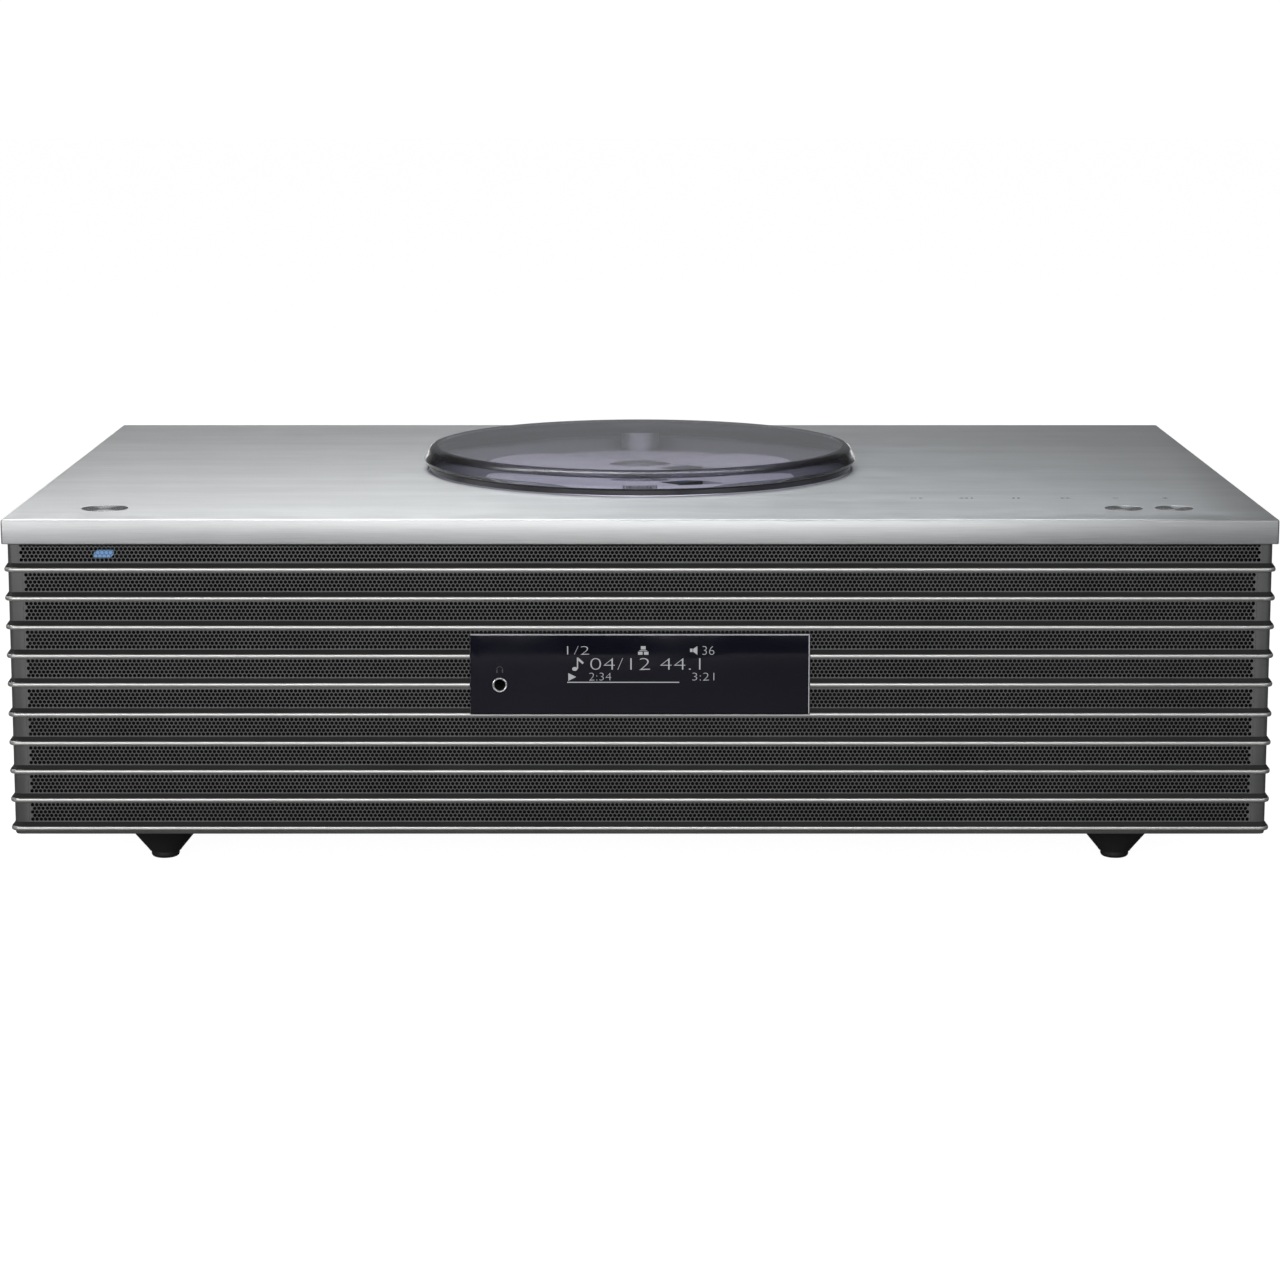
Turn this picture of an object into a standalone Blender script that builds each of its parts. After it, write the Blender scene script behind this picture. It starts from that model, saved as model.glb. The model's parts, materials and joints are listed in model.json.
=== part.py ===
"""Mini hifi system: a wide desktop unit with a top-loading disc well under a swivelling round lid,
a ribbed louvre front over a perforated grille, two front speakers and a down-firing bass speaker.
Units are metres, +Z is up, the front faces -Y, and the origin is on the floor under the middle."""

import math

import bmesh
import bpy
from mathutils import Vector

MM = 0.001
GAP = 0.3 * MM  # clearance between neighbouring pieces

# Overall size
WIDTH = 450 * MM
DEPTH = 280 * MM
PLATE_TOP = 133.4 * MM
PLATE_BOTTOM = 124.6 * MM
LID_TOP = 143.0 * MM
BODY_BOTTOM = 19.4 * MM

# Casing
PLATE_SKIN = 3.0 * MM
PLATE_RIM = 3.5 * MM
PLATE_EDGE = 0.8 * MM
FLAT_INSET = 1.7 * MM  # from the plate's edge to the flat of the louvre wall
NOSE_PROUD = 1.4 * MM  # how far a rib's nose stands out of the flat
WALL = 1.8 * MM
CORNER_RADIUS = 2.0 * MM
CORNER_STEPS = 4
WALL_TOP = PLATE_BOTTOM - GAP
WALL_REAR = 136 * MM
FLAT_X = WIDTH / 2 - FLAT_INSET
FLAT_Y = -DEPTH / 2 + FLAT_INSET
POST_X = 218 * MM  # inner edge of the solid corner posts
SHEET = 1.0 * MM
BASE_BOTTOM = 20 * MM
BASE_TOP = 23 * MM
REAR_THICK = 2.0 * MM

# Ribs
RIB_COUNT = 10
RIB_TOP_Z = 115.38 * MM
RIB_PITCH = 10.335 * MM
RIB_MIDDLE_EXTRA = 0.5 * MM  # the two groups of five ribs stand this much further apart
NOSE_HEIGHT = 1.57 * MM
SLOPE_RISE = 1.45 * MM
EDGE_CHAMFER = 1.4 * MM

# Display and headphone socket
WINDOW_X = 60 * MM
WINDOW_Z = (63.7 * MM, 92.3 * MM)
WINDOW_FRONT = -139.6 * MM
WINDOW_THICK = 1.0 * MM
JACK_X = -49.7 * MM
JACK_Z = 74.1 * MM
JACK_RADIUS = 2.85 * MM
JACK_BORE = 1.95 * MM
JACK_LENGTH = 16 * MM
JACK_END = 2 * MM  # the solid end behind the bore
WINDOW_LAP = 3 * MM  # how far the window covers the grille's edge
SCREEN_X = 34 * MM
SCREEN_Z = (68.5 * MM, 87.5 * MM)
SCREEN_BACK = 3.5 * MM  # behind the window
FRONT_BOARD_X = (-44 * MM, 56 * MM)
FRONT_BOARD_Y = -133 * MM
FRONT_BOARD_Z = (68 * MM, 88 * MM)
STATUS_X = (-193.4 * MM, -185.6 * MM)
STATUS_Z = (119.3 * MM, 122.6 * MM)
STATUS_BACK = -131 * MM

# Lid, disc well and hub
WELL_RADIUS = 83.4 * MM
BED_RADIUS = 60.5 * MM
BED_Z = 130.3 * MM
TRAY_UNDER = 128.1 * MM
TRAY_FLANGE_RADIUS = 90 * MM
HUB_HOLE = 12 * MM
PIVOT_Y = 68.2 * MM
SHAFT_RADIUS = 7.8 * MM
FLANGE_RADIUS = 13.0 * MM
FLANGE_THICK = 1.6 * MM
SHAFT_FOOT = 113 * MM
BEARING_RADIUS = 12 * MM
BEARING_FOOT = 110 * MM
LID_WALL = 3.0 * MM
LID_SIDE = 2.6 * MM
LID_RADIUS = 84.6 * MM
LID_CLEARANCE = 2.2 * MM  # between the lid's foot and the plate
HUB_RADIUS = 7.2 * MM
HUB_TOP = 133.0 * MM
HUB_FLANGE = 11 * MM
HUB_FLANGE_Z = (129.7 * MM, 130.9 * MM)
HUB_PIN = 1.2 * MM

# Buttons: name, x, radius
BUTTON_Y = -112 * MM
BUTTONS = (
    ("power_button", -192.6 * MM, 8.0 * MM),
    ("play_button", 174.1 * MM, 6.4 * MM),
    ("select_button", 192.2 * MM, 6.4 * MM),
)
BUTTON_DISH = 0.5 * MM
BUTTON_COLLAR = 1.4 * MM  # how far the collar under the plate stands out
COLLAR_THICK = 1.8 * MM
BUTTON_STEM = 2 * MM
BUTTON_TRAVEL = 1.2 * MM
BOARD_THICK = 1.6 * MM
SWITCH_BOARD_TOP = 120 * MM
SWITCH_BOARDS = (("left", -206 * MM, -178 * MM), ("right", 162 * MM, 206 * MM))
SWITCH_BOARD_HALF = 13 * MM

# Disc mechanism, in a frame turned so that +X is the way the pickup travels
PICKUP_ANGLE = math.radians(-45)
LENS_START = 23 * MM
PICKUP_TRAVEL = 34 * MM
CHASSIS_TOP = 116.2 * MM
RAIL_Z = 121.5 * MM
RAIL_Y = 20 * MM
RAIL_RADIUS = 1.5 * MM
SCREW_Y = 29.5 * MM
SCREW_RADIUS = 1.4 * MM
SCREW_END = 64 * MM
LUG_IN = (4 * MM, 8 * MM)
LUG_OUT = (71.7 * MM, 75.7 * MM)
LUG_TOP = 125 * MM
LUG_SINK = 0.8 * MM  # how far a lug is let into the chassis it joins
LUG_HALF = 4 * MM
CHASSIS_X = (-36 * MM, 77 * MM)
CHASSIS_HALF_Y = 34 * MM
CHASSIS_THICK = 1.6 * MM
SLED_X = (12.8 * MM, 34 * MM)
SLED_HALF_Y = 24 * MM
SLED_Z = (117.4 * MM, 126.2 * MM)
SLED_WINDOW_X = (14 * MM, 68 * MM)
SLED_WINDOW_HALF_Y = 14 * MM
LENS_BLOCK_HALF = (4.5 * MM, 7 * MM)
PICKUP_SLOT_END = 5.5 * MM  # the slot's margin beyond the lens at each end
PICKUP_SLOT_HALF = 8 * MM
MOTOR_X = 60.5 * MM
MOTOR_RADIUS = 5 * MM
MOTOR_LENGTH = 15 * MM
ISOLATORS = ((-28 * MM, -26 * MM), (-28 * MM, 26 * MM), (60 * MM, -29.2 * MM))
ISOLATOR_RADIUS = 4.5 * MM
ISOLATOR_WAIST = 3 * MM
SPINDLE_MOTOR_RADIUS = 12 * MM
SPINDLE_MOTOR_TOP = 127.4 * MM
SPINDLE_FOOT = 121.0 * MM

# Speakers
BAFFLE_Y = -132 * MM
WOOFER_X = 170 * MM
WOOFER_Z = 66 * MM
WOOFER_HOLE = 36 * MM
TWEETER_X = 117 * MM
TWEETER_Z = 84 * MM
TWEETER_HOLE = 10.3 * MM
BOX_WALL = 4 * MM
BOX_X = (100 * MM, 216 * MM)
BOX_REAR = 60 * MM
BOX_Z = (24 * MM, 110 * MM)
WOOFER_RIM = 34.3 * MM
WOOFER_FLANGE = 40 * MM
WOOFER_DEPTH = 44 * MM
WOOFER_CONE = (33.6 * MM, 11 * MM, 14 * MM)  # rim, neck and depth
TWEETER_FLANGE = 13 * MM
TWEETER_DEPTH = 14 * MM
SUB_BOX_X = 88 * MM
SUB_BOX_Y = (-78 * MM, 88 * MM)
SUB_BOX_TOP = 99 * MM
SUB_CONE = (53 * MM, 18 * MM, 20 * MM)
SUB_CONE_Z = BASE_TOP + 3 * MM
SUB_Y = 2 * MM
SUB_HOLE = 56 * MM
PORT_X = 60 * MM
PORT_Z = 52 * MM
PORT_RADIUS = 16 * MM
PORT_BORE = 14 * MM
PORT_FRONT = 80 * MM

# Rear connections: name, x, z, half width, half height
REAR_Y = WALL_REAR + GAP
REAR_SOCKETS = (
    ("mains_inlet", 150 * MM, 45 * MM, 12 * MM, 7.5 * MM),
    ("lan_socket", -78 * MM, 45 * MM, 8 * MM, 7 * MM),
    ("usb_socket", -105 * MM, 45 * MM, 7.5 * MM, 4.5 * MM),
    ("optical_socket", -130 * MM, 45 * MM, 6 * MM, 6 * MM),
)
ROUND_SOCKETS = (
    ("aux_jack", -152 * MM, 45 * MM, 5 * MM),
    ("antenna_terminal", -180 * MM, 45 * MM, 5.5 * MM),
)
SOCKET_PLATES = (  # name, left, right, bottom, top
    ("socket_plate", -190 * MM, -66 * MM, 33 * MM, 57 * MM),
    ("mains_plate", 132 * MM, 168 * MM, 34 * MM, 56 * MM),
)
SOCKET_DEPTH = 16 * MM
SOCKET_WALL = 1.5 * MM

# Electronics
BOARD_X = (98 * MM, 214 * MM)
BOARD_Y = (66 * MM, 117 * MM)
BOARD_UNDER = 27 * MM
FIN_COUNT = 9
FIN_PITCH = 6 * MM
FIN_THICK = 2 * MM
FIN_HEIGHT = 26 * MM
FIN_ROOT = 4 * MM
SINK_LEFT = -205 * MM
SINK_Y = (72 * MM, 104 * MM)
TRANSFORMER_AT = (190 * MM, 92 * MM, 0)
TRANSFORMER_RADIUS = 23 * MM
TRANSFORMER_HOLE = 8 * MM
TRANSFORMER_HEIGHT = 28 * MM

# Feet
FOOT_X = 176.4 * MM
FOOT_Y = 92 * MM
FOOT_RADIUS = 19.3 * MM

FINE = 48
ROUND = 24
SMALL = 14
TINY = 12
BASS = 32
BEYOND = 5 * MM  # how far a cutter reaches past what it cuts

MATERIALS = {  # colour, roughness, metallic
    "brushed_aluminium": ((0.60, 0.61, 0.62), 0.35, 1.0),
    "turned_aluminium": ((0.55, 0.55, 0.57), 0.25, 1.0),
    "louvre_metal": ((0.09, 0.09, 0.09), 0.45, 0.6),
    "grille_metal": ((0.05, 0.05, 0.05), 0.5, 0.5),
    "smoked_clear": ((0.30, 0.28, 0.34), 0.05, 0.0),
    "tray_plastic": ((0.25, 0.25, 0.28), 0.25, 0.2),
    "polished_metal": ((0.75, 0.75, 0.77), 0.12, 1.0),
    "window_gloss": ((0.012, 0.012, 0.025), 0.05, 0.0),
    "screen_glass": ((0.02, 0.02, 0.03), 0.1, 0.0),
    "light_guide": ((0.15, 0.4, 0.95), 0.2, 0.0),
    "black_plastic": ((0.03, 0.03, 0.03), 0.5, 0.0),
    "black_metal": ((0.04, 0.04, 0.04), 0.5, 0.7),
    "rubber_black": ((0.02, 0.02, 0.02), 0.8, 0.0),
    "steel": ((0.5, 0.5, 0.52), 0.3, 1.0),
    "board_green": ((0.02, 0.14, 0.06), 0.5, 0.0),
    "cone_fibre": ((0.06, 0.06, 0.065), 0.75, 0.0),
    "sink_aluminium": ((0.12, 0.12, 0.13), 0.45, 0.9),
    "core_steel": ((0.16, 0.15, 0.14), 0.5, 0.7),
    "lens_glass": ((0.35, 0.45, 0.6), 0.05, 0.0),
    "contact_brass": ((0.7, 0.52, 0.25), 0.3, 1.0),
}

for leftover in list(bpy.data.objects):
    bpy.data.objects.remove(leftover, do_unlink=True)

PARTS = bpy.data.collections.new("mini_hifi_system")
CUTTERS = bpy.data.collections.new("cutters")
CUTTERS.hide_render = True
bpy.context.scene.collection.children.link(PARTS)
bpy.context.scene.collection.children.link(CUTTERS)


def material(name):
    """The named Principled material, made once."""
    found = bpy.data.materials.get(name)
    if found:
        return found
    colour, roughness, metallic = MATERIALS[name]
    made = bpy.data.materials.new(name)
    made.use_nodes = True
    shader = made.node_tree.nodes["Principled BSDF"]
    shader.inputs["Base Color"].default_value = (*colour, 1)
    shader.inputs["Roughness"].default_value = roughness
    shader.inputs["Metallic"].default_value = metallic
    return made


def placed(name, mesh, finish, at=(0, 0, 0), turn=(0, 0, 0), parent=None):
    """An object of the model, or a cutter where it has no finish."""
    made = bpy.data.objects.new(name, mesh)
    made.location = at
    made.rotation_euler = turn
    made.parent = parent
    if finish:
        mesh.materials.append(material(finish))
        PARTS.objects.link(made)
    else:
        made.hide_render = True
        made.display_type = "WIRE"
        CUTTERS.objects.link(made)
    return made


def block(name, low, high, finish=None, parent=None, edge=0):
    """A box between two corners, its origin at its middle, with rounded edges if asked."""
    low, high = Vector(low), Vector(high)
    mesh = bpy.data.meshes.new(name)
    shape = bmesh.new()
    bmesh.ops.create_cube(shape, size=1)
    bmesh.ops.scale(shape, vec=high - low, verts=shape.verts)
    shape.to_mesh(mesh)
    shape.free()
    made = placed(name, mesh, finish, at=(low + high) / 2, parent=parent)
    if edge:
        rounding = made.modifiers.new("edges", "BEVEL")
        rounding.width = edge
        rounding.segments = 2
    return made


def turned(name, profile, finish=None, at=(0, 0, 0), turn=(0, 0, 0), steps=ROUND, closed=False, parent=None):
    """A turned piece. The profile is (radius, height), clockwise: out, down the outside, back in."""
    mesh = bpy.data.meshes.new(name)
    count = len(profile)
    edges = [(i, i + 1) for i in range(count - 1)]
    if closed:
        edges.append((count - 1, 0))
    mesh.from_pydata([(radius, 0, height) for radius, height in profile], edges, [])
    made = placed(name, mesh, finish, at, turn, parent)
    screw = made.modifiers.new("turn", "SCREW")
    screw.steps = steps
    screw.render_steps = steps
    screw.use_merge_vertices = True
    screw.merge_threshold = 0.00001
    screw.use_smooth_shade = True
    return made


def rod(name, radius, length, finish=None, at=(0, 0, 0), turn=(0, 0, 0), steps=ROUND, parent=None):
    """A plain cylinder along its own +Z from where it is placed."""
    profile = [(0, length), (radius, length), (radius, 0), (0, 0)]
    return turned(name, profile, finish, at, turn, steps, parent=parent)


def combine(target, others, operation="DIFFERENCE"):
    """Cuts the others away from the target, or joins them to it."""
    for other in others:
        step = target.modifiers.new(operation.lower(), "BOOLEAN")
        step.operation = operation
        step.object = other
    return target


TO_FRONT = (math.pi / 2, 0, 0)  # turns a piece's +Z to face the front
TO_REAR = (-math.pi / 2, 0, 0)
TO_FLOOR = (math.pi, 0, 0)  # turns a piece's +Z to face the floor
ALONG_X = (0, math.pi / 2, 0)
SIDES = (("left", -1), ("right", 1))


def across(side, near, far):
    """The two x limits, in order, of something that lies between near and far on one side."""
    return sorted((side * near, side * far))


def rib_z(index):
    return RIB_TOP_Z - index * RIB_PITCH - (RIB_MIDDLE_EXTRA if index >= RIB_COUNT // 2 else 0)


def make_top_plate():
    plate = block(
        "top_plate",
        (-WIDTH / 2, -DEPTH / 2, PLATE_BOTTOM),
        (WIDTH / 2, DEPTH / 2, PLATE_TOP),
        "brushed_aluminium",
        edge=PLATE_EDGE,
    )
    inside_x = WIDTH / 2 - PLATE_RIM
    inside_y = DEPTH / 2 - PLATE_RIM
    below = PLATE_BOTTOM - 1 * MM
    cutters = [
        block(
            "plate_inside",
            (-inside_x, -inside_y, below),
            (inside_x, inside_y, PLATE_TOP - PLATE_SKIN),
        ),
        rod("plate_well", WELL_RADIUS, 20 * MM, at=(0, 0, below), steps=FINE),
    ]
    for name, x, radius in BUTTONS:
        cutters.append(rod(name + "_hole", radius + GAP, 20 * MM, at=(x, BUTTON_Y, below)))
    combine(plate, cutters)


def louvre_profile():
    """The wall's section as (outward, up): plain inside, ten ribs outside, chamfered at the bottom."""
    points = [(-WALL, WALL_TOP), (0, WALL_TOP)]
    for index in range(RIB_COUNT):
        middle = rib_z(index)
        top, bottom = middle + NOSE_HEIGHT / 2, middle - NOSE_HEIGHT / 2
        points += [
            (0, top + SLOPE_RISE),
            (NOSE_PROUD, top),
            (NOSE_PROUD, bottom),
            (0, bottom),
        ]
    points += [
        (0, BODY_BOTTOM + EDGE_CHAMFER / 2),
        (-EDGE_CHAMFER, BODY_BOTTOM),
        (-WALL, BODY_BOTTOM),
    ]
    return points


def louvre_path():
    """The wall's plan from the rear left, round both front corners, to the rear right."""
    points = [(-FLAT_X, WALL_REAR)]
    for side, start in ((-1, math.pi), (1, 1.5 * math.pi)):
        centre = (side * (FLAT_X - CORNER_RADIUS), FLAT_Y + CORNER_RADIUS)
        for step in range(CORNER_STEPS + 1):
            angle = start + step * math.pi / 2 / CORNER_STEPS
            points.append(
                (
                    centre[0] + CORNER_RADIUS * math.cos(angle),
                    centre[1] + CORNER_RADIUS * math.sin(angle),
                )
            )
    points.append((FLAT_X, WALL_REAR))
    return points


def poly_curve(name, points, cyclic, dimensions):
    curve = bpy.data.curves.new(name, "CURVE")
    curve.dimensions = dimensions
    spline = curve.splines.new("POLY")
    spline.points.add(len(points) - 1)
    for target, (x, y) in zip(spline.points, points):
        target.co = (x, y, 0, 1)
    spline.use_cyclic_u = cyclic
    return curve


def make_louvre_frame():
    section = bpy.data.objects.new("louvre_section", poly_curve("section", louvre_profile(), True, "2D"))
    section.hide_render = True
    CUTTERS.objects.link(section)
    path = poly_curve("louvre_path", louvre_path(), False, "3D")
    path.bevel_mode = "OBJECT"
    path.bevel_object = section
    path.use_fill_caps = True
    path.twist_mode = "Z_UP"
    swept = bpy.data.objects.new("louvre_sweep", path)
    CUTTERS.objects.link(swept)
    bpy.context.view_layer.update()
    mesh = bpy.data.meshes.new_from_object(swept.evaluated_get(bpy.context.evaluated_depsgraph_get()))
    shape = bmesh.new()
    shape.from_mesh(mesh)
    bmesh.ops.remove_doubles(shape, verts=shape.verts, dist=0.00001)
    bmesh.ops.recalc_face_normals(shape, faces=shape.faces)
    shape.to_mesh(mesh)
    shape.free()
    mesh.materials.clear()
    frame = placed("louvre_frame", mesh, "louvre_metal")
    bpy.data.objects.remove(swept, do_unlink=True)
    bpy.data.objects.remove(section, do_unlink=True)
    combine(
        frame,
        [
            block(
                "louvre_sheet_space",
                (-POST_X, FLAT_Y - GAP, BODY_BOTTOM - BEYOND),
                (POST_X, FLAT_Y + WALL + BEYOND, WALL_TOP + BEYOND),
            ),
            block(
                "louvre_window_space",
                (-WINDOW_X - GAP, FLAT_Y - BEYOND, WINDOW_Z[0] - GAP),
                (WINDOW_X + GAP, FLAT_Y + BEYOND, WINDOW_Z[1] + GAP),
            ),
        ],
    )


def make_grille_and_panels():
    opening_x = WINDOW_X - WINDOW_LAP
    grille = block(
        "front_grille",
        (-POST_X + GAP, FLAT_Y, BASE_BOTTOM),
        (POST_X - GAP, FLAT_Y + SHEET, WALL_TOP),
        "grille_metal",
    )
    combine(
        grille,
        [
            block(
                "grille_opening",
                (-opening_x, FLAT_Y - BEYOND, WINDOW_Z[0] + WINDOW_LAP),
                (opening_x, FLAT_Y + BEYOND, WINDOW_Z[1] - WINDOW_LAP),
            )
        ],
    )
    inside_x = FLAT_X - WALL - GAP
    base = block(
        "base_plate",
        (-inside_x, FLAT_Y + WALL + GAP, BASE_BOTTOM),
        (inside_x, WALL_REAR - GAP, BASE_TOP),
        "black_metal",
    )
    combine(base, [rod("base_hole", SUB_HOLE, 20 * MM, at=(0, SUB_Y, BASE_BOTTOM - BEYOND), steps=FINE)])


def make_rear():
    panel = block(
        "rear_panel",
        (-FLAT_X, REAR_Y, BASE_BOTTOM),
        (FLAT_X, REAR_Y + REAR_THICK, WALL_TOP),
        "black_plastic",
    )
    cutters = [
        rod(
            "port_exit",
            PORT_RADIUS + GAP,
            20 * MM,
            at=(PORT_X, REAR_Y + 10 * MM, PORT_Z),
            turn=TO_FRONT,
        )
    ]
    back = REAR_Y + REAR_THICK
    plates = {}
    plate_cutters = {}
    for name, left, right, bottom, top in SOCKET_PLATES:
        plates[name] = block(name, (left, REAR_Y, bottom), (right, back, top), "black_metal")
        plate_cutters[name] = []
        cutters.append(
            block(
                name + "_opening",
                (left - GAP, REAR_Y - BEYOND, bottom - GAP),
                (right + GAP, REAR_Y + BEYOND, top + GAP),
            )
        )
    for name, x, z, half_x, half_z in REAR_SOCKETS:
        plate = "mains_plate" if name == "mains_inlet" else "socket_plate"
        plate_cutters[plate].append(
            block(
                name + "_hole",
                (x - half_x - GAP, REAR_Y - BEYOND, z - half_z - GAP),
                (x + half_x + GAP, REAR_Y + BEYOND, z + half_z + GAP),
            )
        )
        socket = block(
            name,
            (x - half_x, back - SOCKET_DEPTH, z - half_z),
            (x + half_x, back, z + half_z),
            "black_plastic",
        )
        inner_x, inner_z = half_x - SOCKET_WALL, half_z - SOCKET_WALL
        hollow = block(
            name + "_hollow",
            (x - inner_x, back - SOCKET_DEPTH + 2 * MM, z - inner_z),
            (x + inner_x, back + BEYOND, z + inner_z),
        )
        combine(socket, [hollow])
        if name == "mains_inlet":
            for side in (-1, 1):
                pin = rod(
                    f"inlet_pin_{side}",
                    1.2 * MM,
                    12 * MM,
                    at=(x + side * 4.3 * MM, back - SOCKET_DEPTH + 1 * MM, z),
                    turn=TO_REAR,
                    steps=TINY,
                )
                combine(socket, [pin], "UNION")
        if name == "usb_socket":
            tongue = block(
                "usb_tongue",
                (x - 5 * MM, back - SOCKET_DEPTH + 1 * MM, z + 0.2 * MM),
                (x + 5 * MM, back - 2 * MM, z + 2 * MM),
            )
            combine(socket, [tongue], "UNION")
    for name, x, z, radius in ROUND_SOCKETS:
        hole = rod(name + "_hole", radius + GAP, 10 * MM, at=(x, REAR_Y + BEYOND, z), turn=TO_FRONT)
        plate_cutters["socket_plate"].append(hole)
        bore = 1.75 * MM if name == "aux_jack" else 1.2 * MM
        profile = [
            (bore, 0),
            (radius, 0),
            (radius, -SOCKET_DEPTH),
            (0, -SOCKET_DEPTH),
            (0, -SOCKET_DEPTH + 3 * MM),
            (bore, -SOCKET_DEPTH + 3 * MM),
        ]
        finish = "black_plastic" if name == "aux_jack" else "contact_brass"
        turned(name, profile, finish, at=(x, back, z), turn=TO_REAR, steps=SMALL, closed=True)
    combine(panel, cutters)
    for name, plate in plates.items():
        combine(plate, plate_cutters[name])


def make_display():
    window_back = WINDOW_FRONT + WINDOW_THICK
    window = block(
        "display_window",
        (-WINDOW_X, WINDOW_FRONT, WINDOW_Z[0]),
        (WINDOW_X, window_back, WINDOW_Z[1]),
        "window_gloss",
        edge=0.25 * MM,
    )
    jack_front = -DEPTH / 2 + 0.1 * MM
    combine(
        window,
        [
            rod(
                "jack_hole",
                JACK_RADIUS + GAP,
                2 * BEYOND,
                at=(JACK_X, FLAT_Y + BEYOND, JACK_Z),
                turn=TO_FRONT,
            )
        ],
    )
    block(
        "display_module",
        (-SCREEN_X, window_back + GAP, SCREEN_Z[0]),
        (SCREEN_X, window_back + SCREEN_BACK, SCREEN_Z[1]),
        "screen_glass",
    )
    block(
        "front_board",
        (FRONT_BOARD_X[0], FRONT_BOARD_Y, FRONT_BOARD_Z[0]),
        (FRONT_BOARD_X[1], FRONT_BOARD_Y + BOARD_THICK, FRONT_BOARD_Z[1]),
        "board_green",
    )
    profile = [
        (JACK_BORE, 0),
        (JACK_RADIUS, 0),
        (JACK_RADIUS, -JACK_LENGTH),
        (0, -JACK_LENGTH),
        (0, JACK_END - JACK_LENGTH),
        (JACK_BORE, JACK_END - JACK_LENGTH),
    ]
    turned(
        "headphone_jack",
        profile,
        "polished_metal",
        at=(JACK_X, jack_front, JACK_Z),
        turn=TO_FRONT,
        steps=SMALL,
        closed=True,
    )
    block(
        "status_light",
        (STATUS_X[0], FLAT_Y + SHEET + GAP, STATUS_Z[0]),
        (STATUS_X[1], STATUS_BACK, STATUS_Z[1]),
        "light_guide",
    )


def make_lid():
    top = LID_TOP
    under = LID_TOP - LID_WALL
    foot = PLATE_TOP + LID_CLEARANCE
    inner = LID_RADIUS - LID_SIDE
    profile = [
        (0, top),
        (79.6 * MM, top),
        (81.4 * MM, top - 0.35 * MM),
        (82.6 * MM, top - 1.1 * MM),
        (83.2 * MM, top - 2.2 * MM),
        (LID_RADIUS, PLATE_TOP + 4.5 * MM),
        (LID_RADIUS - 0.2 * MM, PLATE_TOP + 3.9 * MM),
        (LID_RADIUS - 1.5 * MM, foot),
        (inner, foot),
        (inner, under - 1 * MM),
        (inner - 1 * MM, under),
        (0, under),
    ]
    turned("lid", profile, "smoked_clear", at=(0, 0, 0), steps=FINE)
    flange_top = under - GAP
    flange_under = flange_top - FLANGE_THICK
    profile = [
        (0, flange_top),
        (FLANGE_RADIUS - 0.5 * MM, flange_top),
        (FLANGE_RADIUS, flange_top - 0.5 * MM),
        (FLANGE_RADIUS, flange_under + 0.4 * MM),
        (FLANGE_RADIUS - 1 * MM, flange_under),
        (0, flange_under),
    ]
    turned("lid_flange", profile, "polished_metal", at=(0, PIVOT_Y, 0))
    shaft_top = flange_under - GAP
    rod("lid_shaft", SHAFT_RADIUS, shaft_top - SHAFT_FOOT, "polished_metal", at=(0, PIVOT_Y, SHAFT_FOOT))
    bearing_bore = SHAFT_RADIUS + GAP
    profile = [
        (bearing_bore, TRAY_UNDER - GAP),
        (BEARING_RADIUS, TRAY_UNDER - GAP),
        (BEARING_RADIUS, BEARING_FOOT),
        (0, BEARING_FOOT),
        (0, SHAFT_FOOT - GAP),
        (bearing_bore, SHAFT_FOOT - GAP),
    ]
    turned("lid_bearing", profile, "steel", at=(0, PIVOT_Y, 0), closed=True)


def make_tray(mechanism):
    rim = WELL_RADIUS - GAP
    profile = [
        (HUB_HOLE, BED_Z),
        (BED_RADIUS, BED_Z),
        (rim - 0.8 * MM, PLATE_TOP - GAP),
        (rim, PLATE_TOP - GAP),
        (rim, PLATE_TOP - PLATE_SKIN - GAP),
        (TRAY_FLANGE_RADIUS, PLATE_TOP - PLATE_SKIN - GAP),
        (TRAY_FLANGE_RADIUS, TRAY_UNDER),
        (HUB_HOLE, TRAY_UNDER),
    ]
    tray = turned("disc_tray", profile, "tray_plastic", steps=FINE, closed=True)
    slot_in = LENS_START - PICKUP_SLOT_END
    slot_out = LENS_START + PICKUP_TRAVEL + PICKUP_SLOT_END
    combine(
        tray,
        [
            rod("shaft_hole", SHAFT_RADIUS + GAP, 20 * MM, at=(0, PIVOT_Y, TRAY_UNDER - BEYOND)),
            block(
                "pickup_slot",
                (slot_in, -PICKUP_SLOT_HALF, TRAY_UNDER - BEYOND),
                (slot_out, PICKUP_SLOT_HALF, PLATE_TOP + BEYOND),
                parent=mechanism,
            ),
        ],
    )


def make_buttons():
    top = PLATE_TOP - 0.1 * MM
    collar_top = PLATE_TOP - PLATE_SKIN - 2 * GAP
    collar_under = collar_top - COLLAR_THICK
    for name, x, radius in BUTTONS:
        profile = [
            (0, top - BUTTON_DISH),
            (radius * 0.45, top - 0.8 * BUTTON_DISH),
            (radius * 0.85, top - 0.15 * BUTTON_DISH),
            (radius - 0.3 * MM, top),
            (radius, top - 0.3 * MM),
            (radius, collar_top),
            (radius + BUTTON_COLLAR, collar_top),
            (radius + BUTTON_COLLAR, collar_under),
            (BUTTON_STEM, collar_under),
            (BUTTON_STEM, SWITCH_BOARD_TOP + BUTTON_TRAVEL),
            (0, SWITCH_BOARD_TOP + BUTTON_TRAVEL),
        ]
        turned(name, profile, "turned_aluminium", at=(x, BUTTON_Y, 0))
    for name, low, high in SWITCH_BOARDS:
        block(
            "switch_board_" + name,
            (low, BUTTON_Y - SWITCH_BOARD_HALF, SWITCH_BOARD_TOP - BOARD_THICK),
            (high, BUTTON_Y + SWITCH_BOARD_HALF, SWITCH_BOARD_TOP),
            "board_green",
        )


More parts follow.
